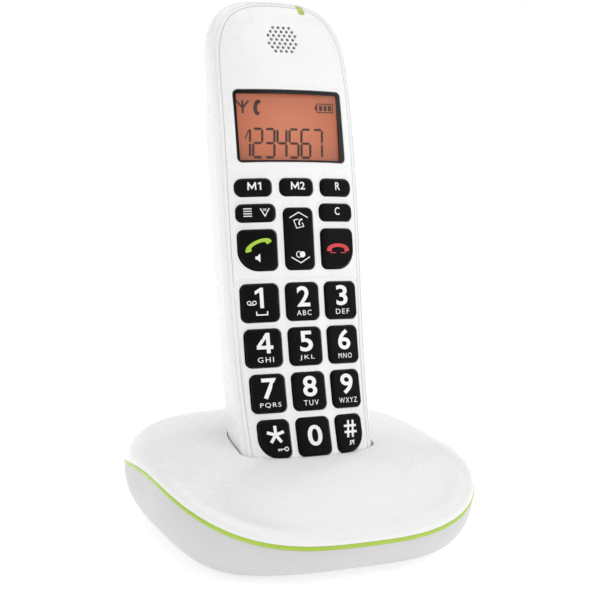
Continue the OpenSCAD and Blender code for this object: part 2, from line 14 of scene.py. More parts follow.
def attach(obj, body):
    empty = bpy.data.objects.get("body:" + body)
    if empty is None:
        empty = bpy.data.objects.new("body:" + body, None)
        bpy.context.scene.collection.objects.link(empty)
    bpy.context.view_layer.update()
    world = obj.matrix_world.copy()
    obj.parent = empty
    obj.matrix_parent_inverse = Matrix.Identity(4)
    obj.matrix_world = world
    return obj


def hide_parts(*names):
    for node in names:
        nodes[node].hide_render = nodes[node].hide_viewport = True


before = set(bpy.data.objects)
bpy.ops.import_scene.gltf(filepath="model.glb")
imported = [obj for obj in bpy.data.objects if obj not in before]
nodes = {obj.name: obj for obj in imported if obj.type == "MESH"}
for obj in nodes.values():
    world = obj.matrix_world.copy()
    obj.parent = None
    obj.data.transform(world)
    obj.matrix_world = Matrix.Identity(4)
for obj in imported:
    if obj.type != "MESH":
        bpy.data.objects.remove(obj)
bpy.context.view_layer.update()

MM = 0.001

# ---- Handset sizes ----
HANDSET_W = 53.8
UP, DOWN = 107.87, 64.0
CROWN = 6.6
BACK_DEPTH = 17.4
BACK_STEP = 2.2
WALL = 1.8
BOW, SWEEP = 0.00154, 0.000073
WIDEST_Y = 42.0
SIDE_BOW = 0.00024
TIP_HALF = 3.0
END_W, END_W_N = (28.0, 14.0), (3.2, 4.0)
END_T, END_T_N = (12.0, 8.0), 2.2
REAR_END_T = (15.0, 8.0)            # the back is rounder at the tip than the face
TAPER, TAPER_Y = 2.6, (52.0, 76.0)  # how much the back thins towards the tip, and where
BACK_N = 3.6
STEP_Y = (56.0, 70.0)
LEVEL_Y = -53.0
LEAN = math.radians(15)
CRADLE_FRONT, CRADLE_Z = 13.3, 20.2
SEAT_Y = -CRADLE_FRONT + DOWN * math.sin(LEAN)
SEAT_Z = CRADLE_Z + DOWN * math.cos(LEAN)
BACK_Z = -CROWN - BACK_DEPTH
BEND_HALF = 26.0                    # half width at which the back's points are spread evenly
SKIN_T = 1.4                        # thickness of the back's skin

# ---- Openings in the back, door, charging pads ----
DOOR_X, DOOR_Y, DOOR_R = 17.0, (-31.8, 24.0), 2.2
OPENING_X, OPENING_Y, OPENING_R = 17.25, (-39.1, 24.25), 2.4
OPENING_Z = BACK_Z + 3.3            # how deep the opening is cut
CUT_DEEP = 9.0                      # how far cutters reach past a surface
GROOVES, GROOVE_PITCH, GROOVE_HALF = 4, 2.4, 7.0
SLOTS, SLOT_MIDDLE, SLOT_PITCH = 5, 42.0, 2.6
SLOT_HALF = (6.0, 0.6)
PAD_X, PAD_HALF, PAD_Z = 7.0, 2.1, (-12.6, -7.4)
PIN_Z, PIN_HOLE_R = -10.0, 1.6

# ---- Key sizes ----
PITCH_X, PITCH_Y = 15.0, 15.5
KEY_GAP = 2.3
KEY_MARGIN = 4.4
KEY_RISE = 1.1
HOLE_GROW, CAP_SHRINK = 0.05, 0.2    # hole and cap edges against the key's own outline
KEY_R, SOFT_R, WIDE_R = 2.2, 2.6, 7.0   # radii of ordinary, memory-key and outer corners
KEY_FOOT = -3.1
EDGE_R = 0.95                           # rounding of a key's upper edge
PILLOW_W, PILLOW_DEPTH = 3.4, 0.16
ROCKER_MID, RIDGE_R, RIDGE_HALF = 21.6, 0.7, 5.0
FACE_R = 106.0
ROW_TALK, ROW_MENU, ROW_MEMORY = (10.95, 25.2), (27.75, 33.95), (36.55, 42.75)
UPPER_MARGIN = 4.4
UPPER_INNER, MEMORY_INNER = 8.3, 9.2
ROCKER_HALF, ROCKER_TOP = 5.65, 32.5
M2_HALF = ROCKER_HALF + 0.78
ROW_NARROW = 0.1    # how much each lower row of number keys narrows, by the square of its row
BLOCK_OUT, BLOCK_FOOT, BLOCK_TOP = 1.8, 1.5, 1.75   # how far the groove lies outside the number keys
BLOCK_RADII = (8.6, 8.6, 3.4, 3.4)
KEY_HALF_X, KEY_HALF_Y = (PITCH_X - KEY_GAP) / 2, (PITCH_Y - KEY_GAP) / 2

# ---- Display, earpiece, lens ----
WINDOW_W, WINDOW_H, WINDOW_T, WINDOW_Y = 40.8, 25.2, 1.2, 48.6
WINDOW_MID = WINDOW_Y + WINDOW_H / 2
PICTURE_Z = -2.2
EAR_Y = 92.4
GRILLE_ROWS = (4, 5, 6, 5, 6, 5, 4)
GRILLE_PITCH = (2.06, 1.45)
GRILLE_R = 0.6
DISH_X, DISH_Y, DISH_DEPTH = 16.0, 9.6, 0.9
LENS_X, LENS_Y, LENS_R = (8.15, 10.85), (UP - 5.6, UP - 0.95), 1.0
APERTURE_X, APERTURE_Y = (-19.8, 18.6), (WINDOW_Y + 0.5, WINDOW_Y + WINDOW_H - 1.4)
SHEET_X, SHEET_Y, SHEET_T = (-19.6, 19.6), (WINDOW_Y + 0.5, WINDOW_Y + WINDOW_H - 0.6), 0.6
PANE_Z = (-0.03, -0.6)      # faces of the clear pane, from the window's own face

# ---- Seam between the face plate and the shell ----
SEAM_IN = 2.9
SEAM_GAP = 0.2
SEAM_DEEP = 0.45

# ---- Base sizes ----
HALF_X, HALF_Y = 57.3, 53.5
RIM_N = 2.94
SOLE = (45.1, 39.6)
SOLE_N = 3.94
WAIST, BASE_CROWN = 26.6, 35.2
BASE_WALL = 2.2
RIM_W = 8.6
TRIM_H = 1.5
TRIM_PROUD, TRIM_DEEP = 0.2, 1.8
FOOT_H = 1.2
CRADLE_GAP = 0.35
AROUND = 240
LIP_R = 0.25        # rounding of the cradle's lip
PAGE_Z, PAGE_R = 22.0, 4.5
ROLL_FRONT, ROLL_H = 5.2, 3.3   # width of the rolled rim at the front, and its height over the green line
LIFT_FADE = 7.0     # how far the lift reaches over the dome
LIFT_SOFT = 0.8     # how softly it starts round the sides
WAIST_TILT, WAIST_DIP, WAIST_REAR = 3.4, 15.7, 6.8
DOME_TILT, DOME_DIP, DOME_SIDE = 8.8, 12.9, 5.25
LIP_Y = -42.0       # handset height at which the cradle's section is taken
FLOOR_Y = -DOWN - 0.4
SOCKETS, SOCKET_Z = ((-23.0, 9.8), (22.4, 7.8)), (16.4, 24.4)   # middle and width of each, and their height
SOCKET_FACE = 40.3
BEHIND = 120.0      # a plane well behind the base


# ---- Shape functions ----

def clamp01(x):
    return max(0.0, min(1.0, x))


def smooth(x):
    return x * x * (3 - 2 * x)


def mix(a, b, t):
    return a + (b - a) * t


def mix_points(a, b, t):
    return tuple(mix(p, q, t) for p, q in zip(a, b))


def fade(x, n):
    return (1 - clamp01(x) ** n) ** (1 / n)


def end_fade(y, inset, reach, n):
    if y > 0:
        return fade((y - UP + inset) / reach[0] + 1, n[0])
    return fade((-DOWN + inset - y) / reach[1] + 1, n[1])


def spine_z(y):
    t = max(y, LEVEL_Y)
    return BOW * t * t / 2 - SWEEP * t ** 3 / 6


def spine_slope(y):
    return BOW * y - SWEEP * y * y / 2


def seam_z(y):
    return spine_z(y) - CROWN


def side_x(y):
    return HANDSET_W / 2 - SIDE_BOW * (y - WIDEST_Y) ** 2


def rear_z(y):
    step = BACK_STEP * smooth(clamp01((y - STEP_Y[0]) / (STEP_Y[1] - STEP_Y[0])))
    return BACK_Z + step + TAPER * smooth(clamp01((y - TAPER_Y[0]) / (TAPER_Y[1] - TAPER_Y[0])))


def half_width(y, inset=0.0):
    return max(TIP_HALF, (side_x(y) - inset) * end_fade(y, inset, END_W, END_W_N))


def thin(y, reach=END_T):
    return end_fade(y, 0.0, reach, (END_T_N, END_T_N))


def face_z(x, y):
    across = clamp01(1 - (x / half_width(y)) ** 2)
    return seam_z(y) + CROWN * thin(y) * math.sqrt(across)


def back_surface_z(x, y):
    across = clamp01(1 - abs(x / half_width(y)) ** BACK_N)
    return seam_z(y) - (seam_z(y) - rear_z(y)) * thin(y, REAR_END_T) * across ** (1 / BACK_N)


def dished_z(x, y):
    """Face with the shallow dish round the earpiece holes."""
    r2 = (x / DISH_X) ** 2 + ((y - EAR_Y) / DISH_Y) ** 2
    dip = DISH_DEPTH * (1 - r2) ** 1.6 if r2 < 1 else 0.0
    return face_z(x, y) - dip


def to_world(p):
    """Handset axes to the shared frame."""
    x, y, z = p
    return (x, SEAT_Y + y * math.sin(LEAN) - z * math.cos(LEAN),
            SEAT_Z + y * math.cos(LEAN) + z * math.sin(LEAN))


def corner(x, y, r, start, steps):
    turn = math.pi / 2 / steps
    return [(x + r * math.cos(start + turn * k), y + r * math.sin(start + turn * k))
            for k in range(steps + 1)]


LEAST_R = 0.05      # no corner is sharper


def tile(x, y, radii, grow=0.0, steps=8):
    """Rectangle with a radius at each corner: left foot, right foot, right top, left top."""
    x0, x1, y0, y1 = x[0] - grow, x[1] + grow, y[0] - grow, y[1] + grow
    r = [max(LEAST_R, q + grow) for q in radii]
    return (corner(x0 + r[0], y0 + r[0], r[0], math.pi, steps)
            + corner(x1 - r[1], y0 + r[1], r[1], 1.5 * math.pi, steps)
            + corner(x1 - r[2], y1 - r[2], r[2], 0, steps)
            + corner(x0 + r[3], y1 - r[3], r[3], math.pi / 2, steps))


def window_tile(r, grow):
    return tile((-WINDOW_W / 2, WINDOW_W / 2), (WINDOW_Y, WINDOW_Y + WINDOW_H), [r] * 4, grow)


def circle(cx, cy, r, count):
    return [(cx + r * math.cos(math.tau * k / count), cy + r * math.sin(math.tau * k / count))
            for k in range(count)]


def even(values, count, point):
    """Parameter values spread so that the points lie evenly along the curve."""
    fine = [mix(values[0], values[1], i / 4000) for i in range(4001)]
    run, last = [0.0], point(fine[0])
    for t in fine[1:]:
        here = point(t)
        run.append(run[-1] + math.dist(last, here))
        last = here
    out, k = [], 0
    for i in range(count + 1):
        goal = run[-1] * i / count
        while k < len(run) - 2 and run[k + 1] < goal:
            k += 1
        out.append(mix(fine[k], fine[k + 1], clamp01((goal - run[k]) / max(1e-9, run[k + 1] - run[k]))))
    return out


def power(c, n):
    return math.copysign(abs(c) ** (2 / n), c)


# ---- Mesh building ----

class Shape:
    """Points and faces gathered before they become one mesh."""

    def __init__(self):
        self.points, self.faces = [], []

    def add(self, points):
        start = len(self.points)
        self.points += [tuple(p) for p in points]
        return list(range(start, len(self.points)))

    def face(self, ids):
        self.faces.append(tuple(ids))

    def strip(self, a, b, closed=True):
        count = len(a)
        for j in range(count if closed else count - 1):
            k = (j + 1) % count
            self.face((a[j], a[k], b[k], b[j]))

    def rings(self, loops, closed=True):
        ids = [self.add(loop) for loop in loops]
        for a, b in zip(ids, ids[1:]):
            self.strip(a, b, closed)
        return ids

    def ends(self, ids):
        self.face(ids[0])
        self.face(ids[-1][::-1])

    def patch(self, boundary, holes, spacing, keep_off, height):
        """Net of triangles inside the boundary and outside the holes, raised to a surface."""
        points, faces = triangulated(boundary, holes, spacing, keep_off)
        ids = self.add([(x, y, height(x, y)) for x, y in points])
        for face in faces:
            self.face([ids[i] for i in face])

    def prism(self, outline, low, high):
        foot = self.add([(x, y, low) for x, y in outline])
        top = self.add([(x, y, high) for x, y in outline])
        self.face(foot[::-1])
        self.face(top)
        self.strip(foot, top)


def make(name, shape, materials, place=None, weld=1e-4, outward=True):
    """One mesh object in metres, welded, with faces turned outwards and sharp edges kept."""
    place = place or (lambda p: p)
    mesh = bpy.data.meshes.new(name)
    mesh.from_pydata([tuple(c * MM for c in place(p)) for p in shape.points], [], shape.faces)
    for material in materials:
        mesh.materials.append(material)
    work = bmesh.new()
    work.from_mesh(mesh)
    bmesh.ops.remove_doubles(work, verts=work.verts, dist=weld * MM)
    bmesh.ops.dissolve_degenerate(work, edges=work.edges, dist=1e-8)
    loose = [v for v in work.verts if not v.link_faces]
    bmesh.ops.delete(work, geom=loose, context="VERTS")
    if outward:
        bmesh.ops.recalc_face_normals(work, faces=work.faces)
    work.to_mesh(mesh)
    work.free()
    obj = bpy.data.objects.new(name, mesh)
    bpy.context.scene.collection.objects.link(obj)
    finish_shading(obj)
    return obj


SHARP = 32          # edges sharper than this many degrees stay sharp


def finish_shading(obj):
    obj.data.polygons.foreach_set("use_smooth", [True] * len(obj.data.polygons))
    obj.data.set_sharp_from_angle(angle=math.radians(SHARP))
    obj.data.update()


def apply_modifiers(obj):
    graph = bpy.context.evaluated_depsgraph_get()
    mesh = bpy.data.meshes.new_from_object(obj.evaluated_get(graph))
    obj.modifiers.clear()
    obj.data = mesh


def cut(obj, cutter):
    """Takes the cutter's volume out of the object and deletes the cutter."""
    step = obj.modifiers.new("cut", "BOOLEAN")
    step.operation = "DIFFERENCE"
    step.solver = "EXACT"
    step.object = cutter
    apply_modifiers(obj)
    bpy.data.objects.remove(cutter)
    finish_shading(obj)


def triangulated(outer, holes, spacing, keep_off):
    """Triangles inside the outer loop and outside the hole loops, with an even grid between."""
    loops = [outer] + holes
    coords, edges = [], []
    for loop in loops:
        start = len(coords)
        coords += [Vector(p) for p in loop]
        edges += [(start + i, start + (i + 1) % len(loop)) for i in range(len(loop))]
    tree = kdtree.KDTree(len(coords))
    for i, p in enumerate(coords):
        tree.insert((p.x, p.y, 0), i)
    tree.balance()
    xs, ys = [p[0] for p in outer], [p[1] for p in outer]
    count_x = int((max(xs) - min(xs)) / spacing)
    count_y = int((max(ys) - min(ys)) / spacing)
    for i in range(count_x + 1):
        for j in range(count_y + 1):
            x = min(xs) + (i + 0.5 * (j % 2)) * spacing
            y = min(ys) + j * spacing
            if tree.find((x, y, 0))[2] > keep_off:
                coords.append(Vector((x, y)))
    points, _, faces = geometry.delaunay_2d_cdt(coords, edges, [], 1, 1e-6, False)[:3]
    boxes = [(min(p[0] for p in h), max(p[0] for p in h), min(p[1] for p in h), max(p[1] for p in h), h)
             for h in holes]
    kept = []
    for face in faces:
        cx = sum(points[i].x for i in face) / 3
        cy = sum(points[i].y for i in face) / 3
        if not inside(cx, cy, outer):
            continue
        if not any(b[0] < cx < b[1] and b[2] < cy < b[3] and inside(cx, cy, b[4]) for b in boxes):
            kept.append(face)
    return [(p.x, p.y) for p in points], kept


def inside(x, y, loop):
    hit = False
    for (x0, y0), (x1, y1) in zip(loop, loop[1:] + loop[:1]):
        if (y0 > y) != (y1 > y) and x < x0 + (y - y0) / (y1 - y0) * (x1 - x0):
            hit = not hit
    return hit


# ---- Materials ----

def new_material(name):
    material = bpy.data.materials.new(name)
    material.use_nodes = True
    tree = material.node_tree
    return material, tree, tree.nodes["Principled BSDF"]


def noise(tree, scale, detail=3.0, stretch=None):
    coords = tree.nodes.new("ShaderNodeTexCoord")
    texture = tree.nodes.new("ShaderNodeTexNoise")
    texture.inputs["Scale"].default_value = scale
    texture.inputs["Detail"].default_value = detail
    source = coords.outputs["Object"]
    if stretch:
        mapping = tree.nodes.new("ShaderNodeMapping")
        mapping.inputs["Scale"].default_value = stretch
        tree.links.new(source, mapping.inputs["Vector"])
        source = mapping.outputs["Vector"]
    tree.links.new(source, texture.inputs["Vector"])
    return texture.outputs["Fac"]


def ramp(tree, source, stops):
    node = tree.nodes.new("ShaderNodeValToRGB")
    node.color_ramp.elements[0].position = stops[0][0]
    node.color_ramp.elements[0].color = (*stops[0][1], 1)
    node.color_ramp.elements[1].position = stops[-1][0]
    node.color_ramp.elements[1].color = (*stops[-1][1], 1)
    for position, colour in stops[1:-1]:
        node.color_ramp.elements.new(position).color = (*colour, 1)
    tree.links.new(source, node.inputs["Fac"])
    return node.outputs["Color"]


def spread(tree, source, low, high):
    node = tree.nodes.new("ShaderNodeMapRange")
    node.inputs["From Min"].default_value = 0.3
    node.inputs["From Max"].default_value = 0.7
    node.inputs["To Min"].default_value = low
    node.inputs["To Max"].default_value = high
    tree.links.new(source, node.inputs["Value"])
    return node.outputs["Result"]


def bump(tree, shader, source, strength, distance):
    node = tree.nodes.new("ShaderNodeBump")
    node.inputs["Strength"].default_value = strength
    node.inputs["Distance"].default_value = distance
    tree.links.new(source, node.inputs["Height"])
    tree.links.new(node.outputs["Normal"], shader.inputs["Normal"])


def moulded(name, dark, light, rough, grain_scale, grain, coat=0.0, metal=0.0, shine=0.5):
    """Moulded surface: faint colour drift, uneven gloss and a fine grain."""
    material, tree, shader = new_material(name)
    drift = noise(tree, 38, 2)
    tree.links.new(ramp(tree, drift, [(0.3, dark), (0.7, light)]), shader.inputs["Base Color"])
    tree.links.new(spread(tree, noise(tree, 120, 4), *rough), shader.inputs["Roughness"])
    bump(tree, shader, noise(tree, grain_scale, 3), grain, 0.00004)
    shader.inputs["Coat Weight"].default_value = coat
    shader.inputs["Coat Roughness"].default_value = 0.06
    shader.inputs["Metallic"].default_value = metal
    shader.inputs["Specular IOR Level"].default_value = shine
    return material


def brushed(name, dark, light, rough):
    """Metal with fine drawn lines."""
    material, tree, shader = new_material(name)
    lines = noise(tree, 900, 2, (1, 0.06, 1))
    tree.links.new(ramp(tree, lines, [(0.25, dark), (0.75, light)]), shader.inputs["Base Color"])
    tree.links.new(spread(tree, lines, *rough), shader.inputs["Roughness"])
    bump(tree, shader, lines, 0.12, 0.00003)
    shader.inputs["Metallic"].default_value = 1.0
    return material


def circuit_board(name):
    """Solder mask with lighter copper tracks under it."""
    material, tree, shader = new_material(name)
    coords = tree.nodes.new("ShaderNodeTexCoord")
    tracks = tree.nodes.new("ShaderNodeTexBrick")
    tracks.inputs["Scale"].default_value = 260
    tracks.inputs["Mortar Size"].default_value = 0.012
    tracks.inputs["Color1"].default_value = (0.015, 0.10, 0.035, 1)
    tracks.inputs["Color2"].default_value = (0.02, 0.13, 0.05, 1)
    tracks.inputs["Mortar"].default_value = (0.05, 0.26, 0.09, 1)
    tree.links.new(coords.outputs["Object"], tracks.inputs["Vector"])
    tree.links.new(tracks.outputs["Color"], shader.inputs["Base Color"])
    tree.links.new(spread(tree, noise(tree, 300), 0.25, 0.4), shader.inputs["Roughness"])
    bump(tree, shader, tracks.outputs["Fac"], 0.25, 0.00005)
    return material


def lit_picture(name):
    """Amber display, brighter in the middle and darker towards its edges by painted shade, with faint pixel
    lines.
    """
    material, tree, shader = new_material(name)
    middle = to_world((0, WINDOW_MID, PICTURE_Z))
    coords = tree.nodes.new("ShaderNodeTexCoord")
    mapping = tree.nodes.new("ShaderNodeMapping")
    mapping.vector_type = "TEXTURE"
    mapping.inputs["Location"].default_value = tuple(c * MM for c in middle)
    mapping.inputs["Scale"].default_value = (WINDOW_W * 0.62 * MM, WINDOW_H * 0.75 * MM, WINDOW_H * 0.75 * MM)
    tree.links.new(coords.outputs["Object"], mapping.inputs["Vector"])
    # painted shade: a spherical gradient darkens the picture's colour and emission towards the window's edges
    painted_edge_shade = tree.nodes.new("ShaderNodeTexGradient")
    painted_edge_shade.gradient_type = "SPHERICAL"
    tree.links.new(mapping.outputs["Vector"], painted_edge_shade.inputs["Vector"])
    colour = ramp(tree, painted_edge_shade.outputs["Fac"], [(0.0, (0.16, 0.045, 0.020)), (0.12, (0.30, 0.085, 0.038)),
                                              (0.4, (0.40, 0.112, 0.050)), (0.85, (0.45, 0.145, 0.072))])
    tree.links.new(colour, shader.inputs["Base Color"])
    tree.links.new(colour, shader.inputs["Emission Color"])
    shader.inputs["Emission Strength"].default_value = 0.42
    tree.links.new(spread(tree, noise(tree, 500), 0.3, 0.45), shader.inputs["Roughness"])
    bump(tree, shader, noise(tree, 2500, 1), 0.1, 0.00002)
    return material


def clear_pane(name):
    material, tree, shader = new_material(name)
    shader.inputs["Base Color"].default_value = (1, 1, 1, 1)
    shader.inputs["Transmission Weight"].default_value = 1.0
    shader.inputs["IOR"].default_value = 1.06
    tree.links.new(spread(tree, noise(tree, 60), 0.0, 0.03), shader.inputs["Roughness"])
    return material


def lens_plastic(name):
    material, tree, shader = new_material(name)
    tree.links.new(ramp(tree, noise(tree, 400), [(0.3, (0.31, 0.36, 0.05)), (0.7, (0.36, 0.41, 0.08))]),
                   shader.inputs["Base Color"])
    tree.links.new(spread(tree, noise(tree, 200), 0.12, 0.2), shader.inputs["Roughness"])
    # painted glow: a faint emission brightens the green lens
    shader.inputs["Emission Color"].default_value = (0.4, 0.6, 0.05, 1)
    shader.inputs["Emission Strength"].default_value = 0.12
    return material


WHITE = moulded("white_gloss", (0.832, 0.832, 0.828), (0.842, 0.842, 0.838), (0.24, 0.32), 420, 0.025,
                coat=0.15)
# white satin plastic given a grey colour: painted shade of the undercut lower bowl, on top of its real satin
# finish
SATIN_WITH_PAINTED_SHADE = moulded("white_satin", (0.56, 0.56, 0.56), (0.58, 0.58, 0.58), (0.36, 0.46), 1500, 0.12)
GREEN = moulded("green_trim", (0.34, 0.50, 0.03), (0.39, 0.56, 0.05), (0.22, 0.32), 600, 0.05, coat=0.2)
LENS = lens_plastic("green_lens")
BLACK_KEY = moulded("key_black", (0.002, 0.002, 0.002), (0.004, 0.004, 0.004), (0.34, 0.46), 2600, 0.10,
                    shine=0.07)
BORDER = moulded("window_border", (0.004, 0.004, 0.005), (0.007, 0.007, 0.008), (0.16, 0.24), 300, 0.01,
                 shine=0.2)
PANE = clear_pane("window_pane")
PICTURE = lit_picture("lcd_picture")
SEGMENT = moulded("lcd_segments", (0.045, 0.016, 0.010), (0.065, 0.024, 0.014), (0.4, 0.5), 900, 0.05)
PRINT_WHITE = moulded("print_white", (0.80, 0.80, 0.80), (0.88, 0.88, 0.88), (0.4, 0.5), 1800, 0.08)
PRINT_GREEN = moulded("print_green", (0.36, 0.58, 0.03), (0.42, 0.64, 0.06), (0.4, 0.5), 1800, 0.08)
PRINT_RED = moulded("print_red", (0.55, 0.02, 0.03), (0.66, 0.035, 0.05), (0.4, 0.5), 1800, 0.08)
DARK = moulded("dark_plastic", (0.018, 0.018, 0.02), (0.03, 0.03, 0.032), (0.4, 0.55), 1500, 0.15)
RUBBER = moulded("foot_rubber", (0.022, 0.022, 0.024), (0.04, 0.04, 0.042), (0.7, 0.85), 1800, 0.3)
SILICONE = moulded("keypad_silicone", (0.50, 0.52, 0.55), (0.58, 0.60, 0.63), (0.5, 0.65), 1200, 0.2)
SPEAKER = moulded("speaker_frame", (0.04, 0.042, 0.046), (0.07, 0.073, 0.078), (0.35, 0.5), 700, 0.2,
                  metal=0.4)
STEEL = brushed("zinc_steel", (0.45, 0.46, 0.47), (0.62, 0.63, 0.64), (0.22, 0.38))
SHIELD = brushed("tinned_steel", (0.55, 0.56, 0.57), (0.72, 0.73, 0.74), (0.25, 0.4))
BRASS = brushed("brass", (0.50, 0.36, 0.14), (0.66, 0.50, 0.22), (0.22, 0.36))
GOLD = brushed("gold_plate", (0.68, 0.52, 0.22), (0.82, 0.66, 0.32), (0.15, 0.28))
BOARD = circuit_board("circuit_board")
SLEEVE = moulded("cell_sleeve", (0.05, 0.22, 0.04), (0.08, 0.30, 0.06), (0.2, 0.32), 300, 0.1, coat=0.3)
CAN = moulded("capacitor_sleeve", (0.02, 0.035, 0.10), (0.03, 0.05, 0.14), (0.22, 0.34), 300, 0.1, coat=0.2)
GUIDE = moulded("light_guide", (0.72, 0.66, 0.56), (0.80, 0.75, 0.66), (0.3, 0.45), 500, 0.1)


# ---- Handset: shell and face plate ----

RUNS = 110          # stations along the handset
ROUND = 88          # points round the back
BACK_ARC = even((0.0, math.pi), ROUND, lambda a: (BEND_HALF * power(math.cos(a), BACK_N),
                                                  BACK_DEPTH * power(math.sin(a), BACK_N)))


def station(i, inset):
    return mix(-DOWN + inset, UP - inset, 0.5 - math.cos(math.pi * i / RUNS) / 2)


def outline(inset):
    """Loop a given distance inside the widest line, with the points of the back's rows at both ends."""
    tip = [TIP_HALF * power(math.cos(a), BACK_N) for a in BACK_ARC]
    right = [(half_width(station(i, inset), inset), station(i, inset)) for i in range(RUNS + 1)]
    left = [(-x, y) for x, y in right[::-1]]
    top = [(x, UP - inset) for x in tip[1:-1]]
    foot = [(-x, -DOWN + inset) for x in tip[1:-1]]
    return right + top + left + foot


def rim_loops(insets):
    return [[(x, y, face_z(x, y)) for x, y in outline(e)] for e in insets]


def handset_shell():
    """Side wall and back in one piece, rolled over the edge up to the face plate's seam."""
    shape = Shape()
    inner = SEAM_IN - SEAM_GAP
    ledge = [[(x, y, face_z(x, y) - d) for x, y in outline(e)]
             for e, d in ((inner + 0.9, SEAM_DEEP), (inner, SEAM_DEEP), (inner, 0.12))]
    rolled = rim_loops([inner - 0.04]) + rim_loops([(inner - 0.1) * (1 - k / 14) ** 2 for k in range(15)])
    rolled[0] = [(x, y, z - 0.03) for x, y, z in rolled[0]]
    shape.rings(ledge + rolled)
    rows = []
    for i in range(RUNS + 1):
        y = station(i, 0)
        depth = (seam_z(y) - rear_z(y)) * thin(y, REAR_END_T)
        rows.append([(half_width(y) * power(math.cos(a), BACK_N), y,
                      seam_z(y) - depth * power(math.sin(a), BACK_N)) for a in BACK_ARC])
    shape.rings(rows, closed=False)
    obj = make("handset_shell", shape, [WHITE], to_world, weld=2e-3)
    thick = obj.modifiers.new("thick", "SOLIDIFY")
    thick.thickness = SKIN_T * MM
    thick.offset = -1
    apply_modifiers(obj)
    tools = Shape()
    tools.prism(tile((-OPENING_X, OPENING_X), OPENING_Y, [OPENING_R] * 4), BACK_Z - CUT_DEEP, OPENING_Z)
    for k in range(SLOTS):
        middle = SLOT_MIDDLE + (k - SLOTS // 2) * SLOT_PITCH
        slot = tile((-SLOT_HALF[0], SLOT_HALF[0]), (middle - SLOT_HALF[1], middle + SLOT_HALF[1]), [0.55] * 4)
        tools.prism(slot, BACK_Z - CUT_DEEP, BACK_Z + 5)
    for x in (-PAD_X, PAD_X):
        tools.prism(tile((x - PAD_HALF, x + PAD_HALF), (-DOWN - CUT_DEEP, -DOWN + 4), [0.2] * 4), *PAD_Z)
    cut(obj, make("shell_cuts", tools, [], to_world))
    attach(obj, "handset")
    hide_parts("handset_rear_shell")


def key_list():
    def digit_outer(row):
        return side_x(-row * PITCH_Y) - KEY_MARGIN - ROW_NARROW * row * row

    def upper(side, inner, row):
        outer = side_x((row[0] + row[1]) / 2) - UPPER_MARGIN - 0.3
        return (-outer, -inner) if side < 0 else (inner, outer)

    r = KEY_R
    keys = [("key_m1", upper(-1, MEMORY_INNER, ROW_MEMORY), ROW_MEMORY, [SOFT_R, r, r, SOFT_R]),
            ("key_m2", (-M2_HALF, M2_HALF), ROW_MEMORY, [r] * 4),
            ("key_r", upper(1, MEMORY_INNER, ROW_MEMORY), ROW_MEMORY, [r, SOFT_R, SOFT_R, r]),
            ("key_menu", upper(-1, UPPER_INNER, ROW_MENU), ROW_MENU, [r] * 4),
            ("key_c", upper(1, UPPER_INNER, ROW_MENU), ROW_MENU, [r] * 4),
            ("key_talk", upper(-1, UPPER_INNER, ROW_TALK), ROW_TALK, [WIDE_R, r, r, r]),
            ("key_end", upper(1, UPPER_INNER, ROW_TALK), ROW_TALK, [r, WIDE_R, r, r]),
            ("key_rocker", (-ROCKER_HALF, ROCKER_HALF), (ROW_TALK[0], ROCKER_TOP), [r] * 4)]
    inner = PITCH_X - KEY_HALF_X
    for row, names in enumerate((("1", "2", "3"), ("4", "5", "6"), ("7", "8", "9"), ("star", "0", "hash"))):
        y = (-row * PITCH_Y - KEY_HALF_Y, -row * PITCH_Y + KEY_HALF_Y)
        outer, wide = digit_outer(row), WIDE_R if row == 3 else r
        keys.append(("key_" + names[0], (-outer, -inner), y, [wide, r, r, r]))
        keys.append(("key_" + names[1], (-KEY_HALF_X, KEY_HALF_X), y, [r] * 4))
        keys.append(("key_" + names[2], (inner, outer), y, [r, wide, r, r]))
    return keys


KEYS = key_list()


def lift(loop, dz):
    return [(x, y, dished_z(x, y) + dz) for x, y in loop]


def block_outline():
    """Outline of the groove round the number keys: it narrows with them towards the foot."""
    reach = side_x(0) - KEY_MARGIN + BLOCK_OUT
    foot, top = -3 * PITCH_Y - KEY_HALF_Y - BLOCK_FOOT, KEY_HALF_Y + BLOCK_TOP
    loop = []
    for x, y in tile((-reach, reach), (foot, top), BLOCK_RADII, steps=14):
        row = -min(0, y) / PITCH_Y
        loop.append((x * (side_x(y) - KEY_MARGIN + BLOCK_OUT - ROW_NARROW * row * row) / reach, y))
    return fill_in(loop, 1.2)


def fill_in(loop, spacing):
    """Adds points on long edges, so a strip along the loop follows the curved face."""
    out = []
    for a, b in zip(loop, loop[1:] + loop[:1]):
        count = max(1, round(math.dist(a, b) / spacing))
        out += [mix_points(a, b, k / count) for k in range(count)]
    return out


def shifted(loop, by):
    """The loop moved outwards along its own normals."""
    out = []
    count = len(loop)
    for i in range(count):
        (x0, y0), (x1, y1) = loop[i - 1], loop[(i + 1) % count]
        size = math.hypot(x1 - x0, y1 - y0)
        out.append((loop[i][0] + (y1 - y0) / size * by, loop[i][1] - (x1 - x0) / size * by))
    return out


